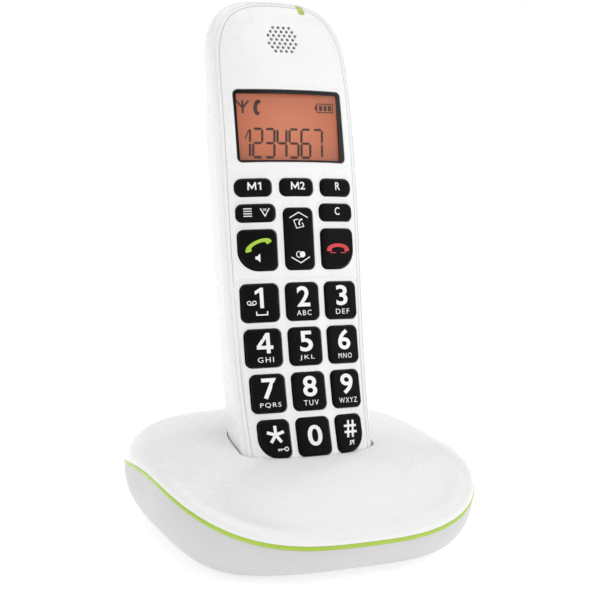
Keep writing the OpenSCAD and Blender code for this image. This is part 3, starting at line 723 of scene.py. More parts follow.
def handset_face():
    """Face plate: crowned and dished, with a lip round each hole and a groove round the number keys."""
    shape = Shape()

    def lipped(edge, profile):
        loops = [shifted(edge, grow) for grow, _ in profile]
        shape.rings([lift(loop, dz) for loop, (_, dz) in zip(loops, profile)])
        return loops

    holes = []
    lip = ((0.7, 0.0), (0.5, 0.08), (0.28, 0.15), (0.16, 0.15), (0.06, 0.08), (0.0, -0.06), (0.0, -2.6))
    for _, x, y, radii in KEYS:
        holes.append(lipped(fill_in(tile(x, y, radii, HOLE_GROW), 1.2), lip)[0])
    frame_lip = ((1.7, 0.0), (1.35, 0.14), (1.0, 0.30), (0.65, 0.38),
                 (0.35, 0.34), (0.12, 0.18), (0.02, -0.05), (0.0, -1.6))
    holes.append(lipped(fill_in(window_tile(1.6, 0.1), 1.2), frame_lip)[0])
    for row, count in enumerate(GRILLE_ROWS):
        for col in range(count):
            cx = (col - (count - 1) / 2) * GRILLE_PITCH[0]
            cy = EAR_Y + (3 - row) * GRILLE_PITCH[1]
            loops = [circle(cx, cy, r, 12) for r in (GRILLE_R + 0.1, GRILLE_R + 0.03, GRILLE_R, GRILLE_R)]
            shape.rings([lift(loop, dz) for loop, dz in zip(loops, (0, -0.03, -0.1, -1.7))])
            holes.append(loops[0])
    groove = ((0.42, 0.0), (0.24, -0.08), (0.1, -0.2), (-0.1, -0.2), (-0.24, -0.08), (-0.42, 0.0))
    loops = lipped(block_outline(), groove)
    outer = outline(SEAM_IN + 0.12)
    edge = [lift(outer, 0), lift(outline(SEAM_IN + 0.04), -0.03), lift(outline(SEAM_IN), -0.12),
            lift(outline(SEAM_IN), -WALL)]
    shape.rings(edge)
    for boundary, cutouts in ((outer, [h for h in holes if h[0][1] > KEY_HALF_Y + 2] + [loops[0]]),
                              (loops[-1], [h for h in holes if h[0][1] <= KEY_HALF_Y + 2])):
        shape.patch(boundary, cutouts, 0.85, 0.45, dished_z)
    obj = make("handset_face", shape, [WHITE], to_world, weld=2e-3)
    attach(obj, "handset")
    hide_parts("handset_front_shell")


def indicator_lens():
    """Small lens let into the rim, standing just above it."""
    shape = Shape()
    profile = ((-0.25, -1.2), (-0.02, -0.1), (0.0, 0.02), (-0.12, 0.1),
               (-0.5, 0.14), (-1.0, 0.15), (-1.45, 0.15))
    rim = fill_in(tile(LENS_X, LENS_Y, [LENS_R] * 4, 0, 6), 0.5)
    loops = [shifted(rim, grow) for grow, _ in profile]
    ids = shape.rings([[(x, y, face_z(x, y) + dz) for x, y in loop] for loop, (_, dz) in zip(loops, profile)])
    shape.face(ids[-1])
    shape.face(ids[0][::-1])
    obj = make("lens", shape, [LENS], to_world)
    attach(obj, "handset")
    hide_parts("indicator_lens")


def battery_door():
    """Sliding door that follows the back, with four finger grooves."""
    shape = Shape()
    edge = fill_in(tile((-DOOR_X, DOOR_X), DOOR_Y, [DOOR_R] * 4, 0, 8), 1.2)
    profile = ((0.0, 1.5), (0.0, 0.3), (-0.08, 0.1), (-0.3, 0.0))
    loops = [shifted(edge, grow) for grow, _ in profile]
    floor_z = BACK_Z + 1.6
    rings = [[(x, y, floor_z if k == 0 else back_surface_z(x, y) + dz) for x, y in loop]
             for k, (loop, (_, dz)) in enumerate(zip(loops, profile))]
    ids = shape.rings(rings)
    shape.face(ids[0])
    shape.patch(loops[-1], [], 1.3, 0.6, back_surface_z)
    obj = make("door", shape, [WHITE], to_world, weld=2e-3)
    tools = Shape()
    for k in range(GROOVES):
        low = DOOR_Y[0] + 3 + k * GROOVE_PITCH
        tools.prism(tile((-GROOVE_HALF, GROOVE_HALF), (low, low + 1), [0.45] * 4), BACK_Z - 6, BACK_Z + 0.5)
    cut(obj, make("door_cuts", tools, [], to_world))
    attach(obj, "battery_door")
    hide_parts("battery_door")


# ---- Keys and their legends ----

class KeyTop:
    """Height of one key's top, pillowed towards its edges."""

    def __init__(self, x, y):
        self.x, self.y = x, y
        self.mid = (y[0] + y[1]) / 2

    def __call__(self, x, y, inset):
        slope = math.atan(spine_slope(self.mid))
        sag = FACE_R - math.sqrt(FACE_R ** 2 - x * x)
        flat = spine_z(self.mid) + KEY_RISE + (y - self.mid) * math.tan(slope) - sag / math.cos(slope)
        edge = clamp01(1 - inset / EDGE_R)
        pillow = clamp01(1 - inset / PILLOW_W)
        return flat - EDGE_R * (1 - math.sqrt(1 - edge ** 2)) - PILLOW_DEPTH * pillow ** 2

    def at(self, x, y):
        inset = min(x - self.x[0], self.x[1] - x, y - self.y[0], self.y[1] - y) - CAP_SHRINK
        return self(x, y, inset)


def key_cap(name, x, y, radii, top):
    shape = Shape()
    start = fill_in(tile(x, y, radii, -CAP_SHRINK, 8), 1.5)
    insets = [0.0, 0.0, 0.03, 0.09, 0.18, 0.3, 0.45, 0.65, 0.95]
    loops = [shifted(start, -e) for e in insets]
    heights = [[(px, py, top(px, py, e)) for px, py in loop] for loop, e in zip(loops, insets)]
    heights[0] = [(px, py, KEY_FOOT) for px, py in start]
    ids = shape.rings(heights)
    shape.face(ids[0][::-1])
    shape.patch(loops[-1], [], 0.9, 0.5, top.at)
    if name == "key_rocker":
        ridge = circle(ROCKER_MID, KEY_FOOT, RIDGE_R, 24)
        barrel = [[(px, py, pz) for py, pz in ridge] for px in (-RIDGE_HALF, RIDGE_HALF)]
        shape.ends(shape.rings(barrel))
    obj = make(name + "_cap", shape, [BLACK_KEY], to_world, weld=2e-3)
    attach(obj, name)
    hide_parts(name)


PRINT_T = 0.05      # thickness of printed legends above the surface
ROUND_PRINT = 20    # points round a printed circle


class Print:
    """Flat artwork in handset axes, laid on a surface as a thin raised print."""

    def __init__(self):
        self.shape = Shape()

    def polygon(self, points):
        area = sum(a[0] * b[1] - b[0] * a[1] for a, b in zip(points, points[1:] + points[:1]))
        if area < 0:
            points = points[::-1]
        self.shape.prism(points, -PRINT_T, PRINT_T)

    def stroke(self, points, width):
        """Ribbon along a line of points."""
        left, right = [], []
        for i, p in enumerate(points):
            a, b = points[max(0, i - 1)], points[min(len(points) - 1, i + 1)]
            before = math.atan2(p[1] - a[1], p[0] - a[0]) if i else math.atan2(b[1] - p[1], b[0] - p[0])
            after = math.atan2(b[1] - p[1], b[0] - p[0]) if i < len(points) - 1 else before
            half = (after - before + math.pi) % math.tau - math.pi
            angle, reach = before + half / 2, width / 2 / max(0.4, math.cos(half / 2))
            left.append((p[0] - reach * math.sin(angle), p[1] + reach * math.cos(angle)))
            right.append((p[0] + reach * math.sin(angle), p[1] - reach * math.cos(angle)))
        for k in range(len(points) - 1):
            self.polygon([left[k], left[k + 1], right[k + 1], right[k]])

    def ring(self, cx, cy, r, width):
        points = circle(cx, cy, r, ROUND_PRINT)
        self.stroke(points + points[:1], width)

    def disc(self, cx, cy, r):
        self.polygon(circle(cx, cy, r, ROUND_PRINT))

    def text(self, words, cx, cy, height, width, weight, spacing=1.0):
        """Letters in Blender's own font, scaled to a height and a width."""
        curve = bpy.data.curves.new("letters", "FONT")
        curve.body = words
        curve.size = 10
        curve.offset = weight
        curve.extrude = 0.1
        curve.space_character = spacing
        curve.resolution_u = 4
        obj = bpy.data.objects.new("letters", curve)
        bpy.context.scene.collection.objects.link(obj)
        bpy.context.view_layer.update()
        mesh = bpy.data.meshes.new_from_object(obj.evaluated_get(bpy.context.evaluated_depsgraph_get()))
        xs, ys = [v.co.x for v in mesh.vertices], [v.co.y for v in mesh.vertices]
        scale_y = height / (max(ys) - min(ys))
        scale_x = width / (max(xs) - min(xs))
        mid_x, mid_y = (max(xs) + min(xs)) / 2, (max(ys) + min(ys)) / 2
        ids = self.shape.add([(cx + (v.co.x - mid_x) * scale_x, cy + (v.co.y - mid_y) * scale_y,
                               math.copysign(PRINT_T, v.co.z)) for v in mesh.vertices])
        for polygon in mesh.polygons:
            self.shape.face([ids[i] for i in polygon.vertices])
        bpy.data.objects.remove(obj)
        bpy.data.curves.remove(curve)
        bpy.data.meshes.remove(mesh)

    def lay(self, name, material, body, height):
        self.shape.points = [(x, y, height(x, y) + z) for x, y, z in self.shape.points]
        obj = make(name, self.shape, [material], to_world, weld=1e-5)
        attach(obj, body)


def turn(points, cx, cy, degrees):
    c, s = math.cos(math.radians(degrees)), math.sin(math.radians(degrees))
    return [(cx + (x - cx) * c - (y - cy) * s, cy + (x - cx) * s + (y - cy) * c) for x, y in points]


RECEIVER_HALF = ((0.0, 0.46), (0.3, 0.44), (0.58, 0.36), (0.82, 0.22), (0.97, 0.04), (1.02, -0.2),
                 (0.95, -0.27), (0.66, -0.32), (0.58, -0.26), (0.57, -0.04), (0.4, 0.06), (0.2, 0.11),
                 (0.0, 0.12))


def receiver_art(art, cx, cy, size, degrees, flat=1.0):
    """Telephone receiver of generic outline: a curved grip with a lobe at each end."""
    half = [(cx + size * x, cy + size * flat * y) for x, y in RECEIVER_HALF]
    mirrored = [(2 * cx - x, y) for x, y in half[-2:0:-1]]
    art.polygon(turn(half + mirrored, cx, cy, degrees))


DIGIT_WIDTHS = {"2": 4.9, "3": 4.7, "4": 5.6, "5": 4.9, "6": 5.1, "7": 5.2, "8": 5.3, "9": 5.1, "0": 5.5}
DIGIT_LETTERS = {"2": "ABC", "3": "DEF", "4": "GHI", "5": "JKL",
                 "6": "MNO", "7": "PQRS", "8": "TUV", "9": "WXYZ"}
ONE = ((-0.25, -3.5), (1.05, -3.5), (1.05, 3.5), (0.1, 3.5), (-1.9, 2.35), (-1.9, 1.15), (-0.25, 1.95))
FOUR_SLOPE = ((1.0, 3.5), (0.5, 3.5), (-2.9, -0.95), (-2.9, -1.75), (-1.5, -1.0), (0.6, 1.75))
SMALL_ONE = ((1.85, -1.35), (2.35, -1.35), (2.35, 1.35), (1.95, 1.35), (1.2, 0.95), (1.2, 0.5), (1.85, 0.8))


def moved(points, dx, dy):
    return [(x + dx, y + dy) for x, y in points]


def oblong(x0, x1, y0, y1):
    return [(x0, y0), (x1, y0), (x1, y1), (x0, y1)]


def key_centre(x, y):
    return (x[0] + x[1]) / 2, (y[0] + y[1]) / 2


def number_print(art, symbol, cx, cy):
    tall = 7.1
    if symbol == "star":
        for k in range(5):
            angle = math.pi / 2 + math.tau * k / 5
            art.stroke([(cx + 0.1 * math.cos(angle), cy + 1.5 + 0.1 * math.sin(angle)),
                        (cx + 3.1 * math.cos(angle), cy + 1.5 + 3.1 * math.sin(angle))], 1.05)
        art.ring(cx + 3.3, cy - 3.4, 0.62, 0.3)
        art.stroke([(cx + 2.7, cy - 3.4), (cx + 0.2, cy - 3.4)], 0.32)
        for dx in (1.3, 0.5):
            art.stroke([(cx + dx, cy - 3.4), (cx + dx, cy - 4.0)], 0.32)
    elif symbol == "hash":
        for dx in (-0.95, 0.95):
            art.stroke([(cx + dx - 0.35, cy - 1.3), (cx + dx + 0.45, cy + 4.6)], 0.8)
        for dy in (0.6, 2.7):
            art.stroke([(cx - 2.5, cy + dy), (cx + 2.5, cy + dy)], 0.8)
        art.stroke([(cx - 1.1, cy - 3.9), (cx + 1.1, cy - 2.3)], 0.28)
        art.stroke(moved(((-0.6, -3.9), (-0.6, -2.5), (0.7, -2.5), (0.7, -3.9)), cx, cy), 0.3)
    elif symbol == "1":
        art.polygon(moved(ONE, cx - 0.3, cy + 1.7))
    elif symbol == "4":
        for part in (oblong(0.5, 1.85, 3.5, -3.5), FOUR_SLOPE, oblong(-2.9, 2.9, -2.05, -0.85)):
            art.polygon(moved(part, cx, cy + 1.7))
    else:
        art.text(symbol, cx, cy + (1.7 if symbol != "0" else 0.4), tall, DIGIT_WIDTHS[symbol], 0.2)
    if symbol in DIGIT_LETTERS:
        letters = DIGIT_LETTERS[symbol]
        art.text(letters, cx, cy - 3.95, 1.8, 1.8 * len(letters) + 0.2, 0.0, 1.25)
    if symbol == "1":
        for dx in (-4.3, -2.5):
            art.ring(cx + dx, cy + 0.1, 0.62, 0.3)
        art.stroke([(cx - 4.3, cy - 0.62), (cx - 2.5, cy - 0.62)], 0.3)
        art.stroke(moved(((-1.9, -2.9), (-1.9, -4.1), (1.9, -4.1), (1.9, -2.9)), cx, cy), 0.42)


def function_print(name, white, cx, cy):
    """White artwork of the keys above the numbers."""
    if name in ("key_m1", "key_m2", "key_r", "key_c"):
        words = name[4:].upper()
        if words[0] == "M":
            x, y = cx - 0.95, cy + 0.4
            white.stroke([(x - 1.35, y - 1.35), (x - 1.2, y + 1.35)], 0.5)
            white.stroke([(x + 1.35, y - 1.35), (x + 1.2, y + 1.35)], 0.5)
            white.stroke([(x - 1.2, y + 1.1), (x, y - 0.7), (x + 1.2, y + 1.1)], 0.5)
            if words[1] == "1":
                white.polygon(moved(SMALL_ONE, cx, cy + 0.4))
            else:
                white.text("2", cx + 1.9, cy + 0.4, 2.7, 1.9, 0.15)
        else:
            white.text(words, cx + (0.4 if words == "R" else 0.1), cy + 0.4, 2.75, 2.0, 0.12)
    elif name == "key_menu":
        for k in range(4):
            white.stroke([(cx - 4.8, cy - 1.1 + 0.85 * k), (cx - 1.9, cy - 1.1 + 0.85 * k)], 0.34)
        white.stroke([(cx + 1.1, cy + 1.5), (cx + 2.7, cy - 1.2), (cx + 4.3, cy + 1.5)], 0.36)
        white.text("OK", cx + 2.7, cy + 1.0, 0.95, 1.4, 0.05)
    elif name == "key_talk":
        horn = ((-1.1, -0.55), (-0.4, -0.55), (0.6, -1.5), (0.6, 1.5), (-0.4, 0.55), (-1.1, 0.55))
        white.polygon(moved(horn, cx - 0.4, cy - 2.7))
    elif name == "key_rocker":
        white.stroke([(-3.7, 28.9), (-0.2, 30.8), (3.3, 28.9)], 0.36)
        white.stroke([(-2.2, 28.1), (-1.2, 25.3), (1.6, 25.9), (1.0, 27.2)], 0.3)
        white.stroke([(-2.2, 28.1), (-0.4, 28.4)], 0.3)
        receiver_art(white, 0.3, 27.5, 1.25, 62)
        white.ring(-0.75, 16.2, 1.0, 0.3)
        white.disc(0.55, 16.2, 1.05)
        white.stroke([(-3.7, 15.3), (-0.2, 13.3), (3.3, 15.3)], 0.36)


def keys():
    for name, x, y, radii in KEYS:
        top = KeyTop(x, y)
        key_cap(name, x, y, radii, top)
        cx, cy = key_centre(x, y)
        symbol = name[4:]
        art = Print()
        if y[1] <= KEY_HALF_Y + 0.1:
            number_print(art, symbol, cx, cy)
        else:
            function_print(name, art, cx, cy)
        if art.shape.points:
            art.lay(name + "_legend", PRINT_WHITE, name, top.at)
        if name in ("key_talk", "key_end"):
            sign = Print()
            if name == "key_talk":
                receiver_art(sign, cx - 0.35, cy + 1.8, 4.9, 22, 0.7)
            else:
                receiver_art(sign, cx - 0.25, cy + 0.1, 4.6, 0, 0.8)
                sign.stroke([(cx - 3.6, cy - 1.45), (cx + 3.1, cy - 1.45)], 0.3)
            colour = PRINT_GREEN if name == "key_talk" else PRINT_RED
            sign.lay(name + "_receiver", colour, name, top.at)


# ---- Display ----

def window_z(x, y):
    slope = math.atan(spine_slope(WINDOW_MID))
    sag = FACE_R - math.sqrt(FACE_R ** 2 - x * x)
    return spine_z(WINDOW_MID) + 0.1 + (y - WINDOW_MID) * math.tan(slope) - sag / math.cos(slope)


def window_sheet(shape, boundary, holes, dz):
    shape.patch(boundary, holes, 1.4, 0.6, lambda x, y: window_z(x, y) + dz)


def display():
    """Black-edged window, clear pane and the lit picture under it."""
    shape = Shape()
    outer = fill_in(window_tile(1.5, 0), 1.2)
    hole = fill_in(tile(APERTURE_X, APERTURE_Y, [0.5] * 4, 0, 6), 1.2)
    rim = [[(x, y, window_z(x, y) + dz) for x, y in shifted(outer, grow)]
           for grow, dz in ((0, -WINDOW_T), (0, -0.12), (-0.06, -0.03), (-0.2, 0))]
    shape.rings(rim)
    mouth = [[(x, y, window_z(x, y) + dz) for x, y in hole] for dz in (0, -WINDOW_T)]
    shape.rings(mouth)
    window_sheet(shape, shifted(outer, -0.2), [hole], 0)
    window_sheet(shape, outer, [hole], -WINDOW_T)
    border = make("window_frame", shape, [BORDER], to_world, weld=2e-3)
    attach(border, "handset")
    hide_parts("display_window")

    pane_shape = Shape()
    sheet = fill_in(tile(APERTURE_X, APERTURE_Y, [0.5] * 4, -0.01, 6), 1.2)
    walls = [[(x, y, window_z(x, y) + dz) for x, y in sheet] for dz in PANE_Z]
    pane_shape.rings(walls)
    for dz in PANE_Z:
        window_sheet(pane_shape, sheet, [], dz)
    pane = make("window_pane", pane_shape, [PANE], to_world, weld=2e-3)
    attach(pane, "handset")

    sheet_shape = Shape()
    sheet_shape.prism(tile(SHEET_X, SHEET_Y, [0.4] * 4), PICTURE_Z - SHEET_T, PICTURE_Z)
    picture = make("lcd_picture", sheet_shape, [PICTURE], to_world)
    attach(picture, "handset")
    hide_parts("lcd_glass")
    display_art()


SEGMENTS = {"1": "bc", "2": "abged", "3": "abgcd", "4": "fgbc", "5": "afgcd", "6": "afgedc", "7": "abc"}


def seven_segment(art, digit, x, y, wide, tall, thick):
    """One digit of bars with pointed ends."""
    half, gap = tall / 2, 0.14
    bars = {"a": (0, tall, wide, tall), "g": (0, half, wide, half), "d": (0, 0, wide, 0),
            "f": (0, half, 0, tall), "b": (wide, half, wide, tall),
            "e": (0, 0, 0, half), "c": (wide, 0, wide, half)}
    for name in SEGMENTS[digit]:
        x0, y0, x1, y1 = bars[name]
        length = math.hypot(x1 - x0, y1 - y0)
        ux, uy = (x1 - x0) / length, (y1 - y0) / length
        t = thick / 2
        far = length - gap
        line = [(gap, 0), (gap + t, t), (far - t, t), (far, 0), (far - t, -t), (gap + t, -t)]
        art.polygon([(x + x0 + a * ux - b * uy + 0.06 * (y0 + a * uy + b * ux), y + y0 + a * uy + b * ux)
                     for a, b in line])


def display_art():
    art = Print()
    left, foot = -19.05, WINDOW_Y + 1.8
    for k, digit in enumerate("1234567"):
        seven_segment(art, digit, left + 4.6 * k, foot, 3.4, 9.9, 0.85)
    art.polygon(moved(((1.6, 6.0), (2.2, 6.4), (3.7, 9.3), (3.3, 9.6)), left, foot))
    mast_x, mast_y = -17.4, WINDOW_Y + 16.9
    art.stroke([(mast_x, mast_y), (mast_x, mast_y + 4.6)], 0.75)
    art.stroke([(mast_x - 2.3, mast_y + 4.5), (mast_x, mast_y + 2.0), (mast_x + 2.3, mast_y + 4.5)], 0.7)
    receiver_art(art, -12.1, mast_y + 2.3, 2.7, 82)
    receiver_art(art, -11.6, mast_y + 2.3, 2.6, 82)
    cell_x, cell_y = 14.0, WINDOW_Y + 19.4
    case = oblong(-3.0, 3.2, -1.5, 1.5)
    art.stroke(moved(case + case[:1], cell_x, cell_y), 0.36)
    art.polygon(moved(oblong(-3.8, -3.1, -0.7, 0.7), cell_x, cell_y))
    for k in range(3):
        art.polygon(moved(oblong(0, 1.2, -0.95, 0.95), cell_x - 2.1 + 1.75 * k, cell_y))
    art.lay("lcd_figures", SEGMENT, "handset", lambda x, y: PICTURE_Z + 0.02)


# ---- Base ----

def waist_at(t):
    return WAIST - WAIST_TILT * t - WAIST_DIP * t * t + WAIST_REAR * max(t, 0) ** 3


def crown_at(x, y):
    q, t = x / HALF_X, y / HALF_Y
    return BASE_CROWN + DOME_TILT * t - DOME_DIP * t * t - DOME_SIDE * q * q


def rim_point(a, inset):
    return ((HALF_X - inset) * power(math.cos(a), RIM_N), (HALF_Y - inset) * power(math.sin(a), RIM_N))


def waist_point(a, inset, dz):
    x, y = rim_point(a, inset)
    return (x, y, waist_at(rim_point(a, 0)[1] / HALF_Y) + dz)


def crown_point(p, drop):
    return (p[0], p[1], crown_at(p[0], p[1]) - drop)


def rim_surface(a, d, inset):
    """Lining under the rim, as the CAD part has it."""
    edge = waist_point(a, inset + d, TRIM_H / 2)
    top = crown_point(rim_point(a, inset + RIM_W), inset)
    x = clamp01(d / RIM_W)
    return (edge[0], edge[1], mix(edge[2], top[2], math.sqrt(1 - (1 - x) ** 2)))


def roll_width(a):
    """The rolled rim is narrower along the front."""
    forward = -rim_point(a, 0)[1] / HALF_Y
    return mix(RIM_W, ROLL_FRONT, smooth(clamp01((forward + 0.3) / 1.1)))


def roll_lift(a):
    """How far the front of the dome is lifted to meet the rolled rim."""
    edge = waist_point(a, 0, TRIM_H / 2)[2]
    lift = edge + ROLL_H - crown_point(rim_point(a, roll_width(a)), 0)[2]
    return (lift + math.hypot(lift, LIFT_SOFT)) / 2


def dome_point(a, p, past):
    """Point of the dome, a distance past the rolled rim."""
    return (p[0], p[1], crown_at(p[0], p[1]) + roll_lift(a) * math.exp(-past / LIFT_FADE))


def rolled_rim(a, s):
    """Outer rim: rises from the green line and meets the dome at the dome's own slope."""
    width = roll_width(a)
    edge = waist_point(a, s * width, TRIM_H / 2)
    start = waist_point(a, 0, TRIM_H / 2)[2]
    inner, beyond = rim_point(a, width), rim_point(a, width + 0.5)
    top = dome_point(a, inner, 0)[2]
    slope = (dome_point(a, beyond, 0.5)[2] - top) / 0.5
    straight = clamp01(slope * width / max(0.5, top - start))
    rise = mix(math.sqrt(1 - (1 - s) ** 2), s, straight)
    return (edge[0], edge[1], mix(edge[2], top, rise) if s < 1 else top)


def cradle_xz(a, grow):
    back = a < math.pi
    height = rear_z(0) - seam_z(LEVEL_Y) - grow if back else CROWN + grow
    n = BACK_N if back else 2
    x = (side_x(LIP_Y) + grow) * power(math.cos(a), n)
    up = power(math.sin(a), n)
    return x, seam_z(LEVEL_Y) + (up if back else -up) * height


def lip_y(x, z, drop):
    y = -50.0
    for _ in range(8):
        world = crown_at(x, SEAT_Y + y * math.sin(LEAN) - z * math.cos(LEAN)) - drop
        y = (world - SEAT_Z - z * math.sin(LEAN)) / math.cos(LEAN)
    return y


def lip_point(a, grow, drop):
    x, z = cradle_xz(a, grow)
    return to_world((x, lip_y(x, z, drop), z))


def wall_point(a, grow, y):
    x, z = cradle_xz(a, grow)
    return to_world((x, y, z))


ANGLES = even((0.0, math.tau), AROUND, lambda a: rim_point(a, 0))[:-1]


def bar(shape, section, start, end, place=lambda p: p):
    """Closed bar along y with the given section across x and z."""
    shape.ends(shape.rings([[place((x, y, z)) for x, z in section] for y in (start, end)]))


def base_top():
    """Rolled rim, domed top and cradle in one closed shell."""
    shape = Shape()
    steps = [(1 - math.cos(math.pi / 2 * k / 16)) for k in range(17)]
    outer = [[rolled_rim(a, s) for a in ANGLES] for s in steps]
    for k in range(1, 21):
        loop = []
        for a in ANGLES:
            start = rim_point(a, roll_width(a))
            end = lip_point(a, CRADLE_GAP + LIP_R, 0)[:2]
            p = mix_points(start, end, k / 21)
            loop.append(dome_point(a, p, math.dist(p, start)))
        outer.append(loop)
    for grow, drop in ((1.0, 0), (0.6, 0.05), (0.28, 0.25), (0.07, 0.6), (0.0, 1.0)):
        outer.append([lip_point(a, CRADLE_GAP + grow * LIP_R, drop * LIP_R) for a in ANGLES])
    outer += [[wall_point(a, CRADLE_GAP, y) for a in ANGLES] for y in (FLOOR_Y + 0.6, FLOOR_Y)]
    inner = [[rim_surface(a, s * (RIM_W - 0.2), BASE_WALL) for a in ANGLES] for s in (0, 0.08, 0.3, 0.6, 1)]
    for s in (0.4, 0.8):
        loop = []
        for a in ANGLES:
            end = lip_point(a, CRADLE_GAP + BASE_WALL, BASE_WALL)[:2]
            loop.append(crown_point(mix_points(rim_point(a, RIM_W + BASE_WALL), end, s), BASE_WALL))
        inner.append(loop)
    inner.append([lip_point(a, CRADLE_GAP + BASE_WALL, BASE_WALL) for a in ANGLES])
    inner.append([wall_point(a, CRADLE_GAP + BASE_WALL, FLOOR_Y - BASE_WALL) for a in ANGLES])
    skin, lining = shape.rings(outer), shape.rings(inner)
    shape.strip(skin[0], lining[0])
    shape.face(skin[-1])
    shape.face(lining[-1])
    obj = make("base_top", shape, [WHITE])
    tools = Shape()
    for x, width in SOCKETS:
        half = width / 2 + 0.6
        bar(tools, tile((x - half, x + half), SOCKET_Z, [0.8] * 4), SOCKET_FACE, BEHIND)
    bar(tools, circle(0, PAGE_Z, PAGE_R + 0.35, 48), HALF_Y - 14, BEHIND)
    for x in (-PAD_X, PAD_X):
        bar(tools, circle(x, PIN_Z, PIN_HOLE_R, 32), FLOOR_Y - 6, FLOOR_Y + 4, to_world)
    cut(obj, make("base_cuts", tools, []))
    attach(obj, "base")
    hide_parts("base_top_shell")


def base_band():
    """Green line between the shells, with softly rounded edges."""
    shape = Shape()
    half = TRIM_H / 2 - 0.03
    profile = [(TRIM_DEEP, -half), (0.05, -half), (-0.08, -half + 0.05), (-0.17, -half + 0.2),
               (-TRIM_PROUD, 0), (-0.17, half - 0.2), (-0.08, half - 0.05), (0.05, half), (TRIM_DEEP, half)]
    ids = shape.rings([[waist_point(a, inset, dz) for a in ANGLES] for inset, dz in profile])
    shape.strip(ids[-1], ids[0])
    obj = make("base_line", shape, [GREEN])
    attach(obj, "base")
    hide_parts("base_trim")


def bowl_point(a, q, inset):
    pull = (1 - math.sqrt(1 - 0.9 * q * q)) / (1 - math.sqrt(0.1))
    top = waist_point(a, inset, -TRIM_H / 2)
    foot = ((SOLE[0] - inset) * power(math.cos(a), SOLE_N), (SOLE[1] - inset) * power(math.sin(a), SOLE_N))
    return (mix(top[0], foot[0], pull), mix(top[1], foot[1], pull), mix(top[2], FOOT_H + inset, q))


POST = ((3.2, 3.0), (3.2, 7.8), (3.0, 8.0), (1.2, 8.0), (1.2, 4.0))     # radii and heights of a screw post


def base_bowl():
    """Lower shell: undercut bowl with a flat sole and the four screw posts."""
    shape = Shape()
    steps = [math.sin(math.pi / 2 * k / 26) for k in range(27)]
    outer = [[bowl_point(a, q, 0) for a in ANGLES] for q in steps]
    inner = [[bowl_point(a, q, BASE_WALL) for a in ANGLES] for q in (0, 0.2, 0.4, 0.6, 0.75, 0.88, 0.96, 1)]
    skin, lining = shape.rings(outer), shape.rings(inner)
    shape.strip(skin[0], lining[0])
    shape.face(skin[-1])
    shape.face(lining[-1])
    for sx in (-1, 1):
        for sy in (-1, 1):
            x, y = sx * (SOLE[0] - 15), sy * (SOLE[1] - 14)
            shape.ends(shape.rings([[(px, py, z) for px, py in circle(x, y, r, 32)] for r, z in POST]))
    # the grey of this satin material is painted shade
    obj = make("base_bowl", shape, [SATIN_WITH_PAINTED_SHADE])
    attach(obj, "base")
    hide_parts("base_bottom_shell")


def page_cap():
    """Round page button with a dished face."""
    shape = Shape()
    front = HALF_Y + 0.6
    profile = [(2.0, front - 8), (2.0, front - 7), (PAGE_R, front - 7), (PAGE_R, front - 0.45),
               (PAGE_R - 0.12, front - 0.15), (PAGE_R - 0.45, front), (PAGE_R - 1.2, front - 0.12),
               (PAGE_R - 2.6, front - 0.35), (0.6, front - 0.45)]
    shape.ends(shape.rings([[(x, y, z) for x, z in circle(0, PAGE_Z, r, 48)] for r, y in profile]))
    obj = make("page_cap", shape, [SATIN_WITH_PAINTED_SHADE])
    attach(obj, "page_button")
    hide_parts("page_button")


# ---- Finishes of the CAD pieces that stay ----

FINISH = {
    "base_feet": RUBBER, "base_pcb": BOARD, "base_screws": STEEL, "base_shield": SHIELD,
    "base_capacitors": CAN, "line_socket": DARK, "power_socket": DARK, "page_switch": DARK,
    "contact_block": DARK, "charging_pins": GOLD, "lcd_backlight": GUIDE,
    "earpiece_speaker": SPEAKER, "ringer_speaker": SPEAKER, "microphone": SHIELD,
    "handset_pcb": BOARD, "handset_screws": STEEL, "screw_inserts": BRASS, "keypad_mat": SILICONE,
    "antenna": BRASS, "charging_pads": GOLD, "battery_tray": SATIN_WITH_PAINTED_SHADE, "battery_cells": SLEEVE,
    "battery_contacts": STEEL}


def finish_cad_pieces():
    for name, material in FINISH.items():
        for slot in nodes[name].material_slots:
            slot.material = material


# ---- Stage, lights, camera ----

def stage():
    """Pale dished floor that rises far from the phone."""
    shape = Shape()
    profile = [(0.02, 0), (0.5, 0), (1.6, 0), (2.4, 0.04), (3.2, 0.25), (3.9, 0.7), (4.4, 1.4), (4.6, 2.2)]
    loops = [[(x, y, z / MM) for x, y in circle(0, 0, r / MM, 96)] for r, z in profile]
    ids = shape.rings(loops)
    shape.face(ids[0])
    material, tree, shader = new_material("floor_white")
    tree.links.new(ramp(tree, noise(tree, 3, 2), [(0.3, (0.84, 0.84, 0.84)), (0.7, (0.86, 0.86, 0.86))]),
                   shader.inputs["Base Color"])
    shader.inputs["Roughness"].default_value = 0.7
    shader.inputs["Specular IOR Level"].default_value = 0.2
    shader.inputs["Emission Color"].default_value = (1, 1, 1, 1)
    shader.inputs["Emission Strength"].default_value = 0.45
    obj = make("floor", shape, [material], outward=False)
    for polygon in obj.data.polygons:
        if polygon.normal.z < 0:
            polygon.flip()


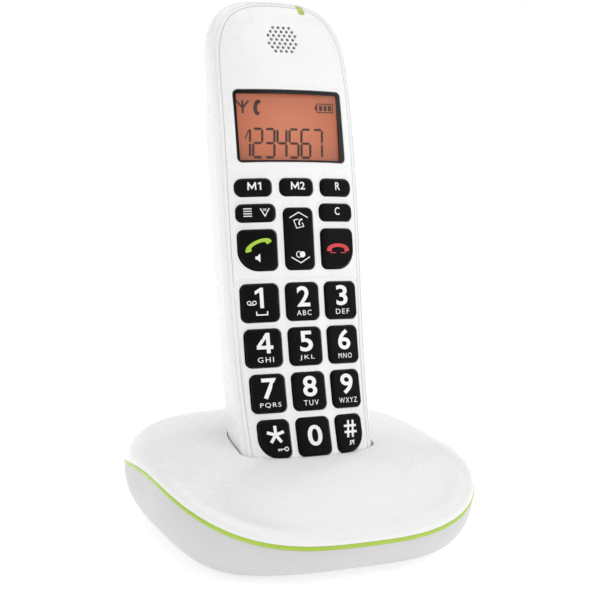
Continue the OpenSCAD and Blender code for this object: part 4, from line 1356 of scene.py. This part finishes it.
def area_light(name, place, aim, size, watts):
    data = bpy.data.lights.new(name, "AREA")
    data.shape = "RECTANGLE"
    data.size, data.size_y = size
    data.energy = watts
    obj = bpy.data.objects.new(name, data)
    obj.location = place
    obj.rotation_euler = (Vector(aim) - Vector(place)).to_track_quat("-Z", "Y").to_euler()
    bpy.context.scene.collection.objects.link(obj)


def lights():
    world = bpy.data.worlds.new("studio")
    world.use_nodes = True
    background = world.node_tree.nodes["Background"]
    background.inputs["Color"].default_value = (1, 1, 1, 1)
    background.inputs["Strength"].default_value = 0.50
    bpy.context.scene.world = world
    middle = (0, 0, 0.09)
    area_light("key_light", (0.75, -0.75, 0.85), middle, (1.1, 1.1), 3.6)
    area_light("top_light", (0.1, 0.25, 1.2), middle, (1.4, 1.4), 6.0)
    area_light("left_light", (-0.9, 0.1, 0.5), middle, (0.5, 0.9), 0.5)
    bpy.context.scene.view_settings.view_transform = "Standard"
    bpy.context.scene.view_settings.look = "None"


CAMERA_PLACE = (-206.70, -424.26, 174.79)
CAMERA_HEADING = 25.7017        # degrees from +Y towards +X
CAMERA_TILT = -11.0033
CAMERA_ROLL = 3.1047
FOCAL, SENSOR = 84.0, 36.0      # millimetres


def camera():
    data = bpy.data.cameras.new("camera")
    data.lens = FOCAL
    data.sensor_width = SENSOR
    data.clip_start = 0.01
    data.clip_end = 50
    obj = bpy.data.objects.new("camera", data)
    heading, tilt, roll = (math.radians(v) for v in (CAMERA_HEADING, CAMERA_TILT, CAMERA_ROLL))
    ahead = Vector((math.sin(heading) * math.cos(tilt), math.cos(heading) * math.cos(tilt), math.sin(tilt)))
    side = ahead.cross(Vector((0, 0, 1))).normalized()
    rise = side.cross(ahead)
    right = side * math.cos(roll) + rise * math.sin(roll)
    up = right.cross(ahead)
    matrix = Matrix((right, up, -ahead)).transposed().to_4x4()
    matrix.translation = Vector(CAMERA_PLACE) * MM
    obj.matrix_world = matrix
    bpy.context.scene.collection.objects.link(obj)
    bpy.context.scene.camera = obj


camera()
lights()
stage()
finish_cad_pieces()
handset_shell()
handset_face()
indicator_lens()
battery_door()
keys()
display()
base_top()
base_band()
base_bowl()
page_cap()
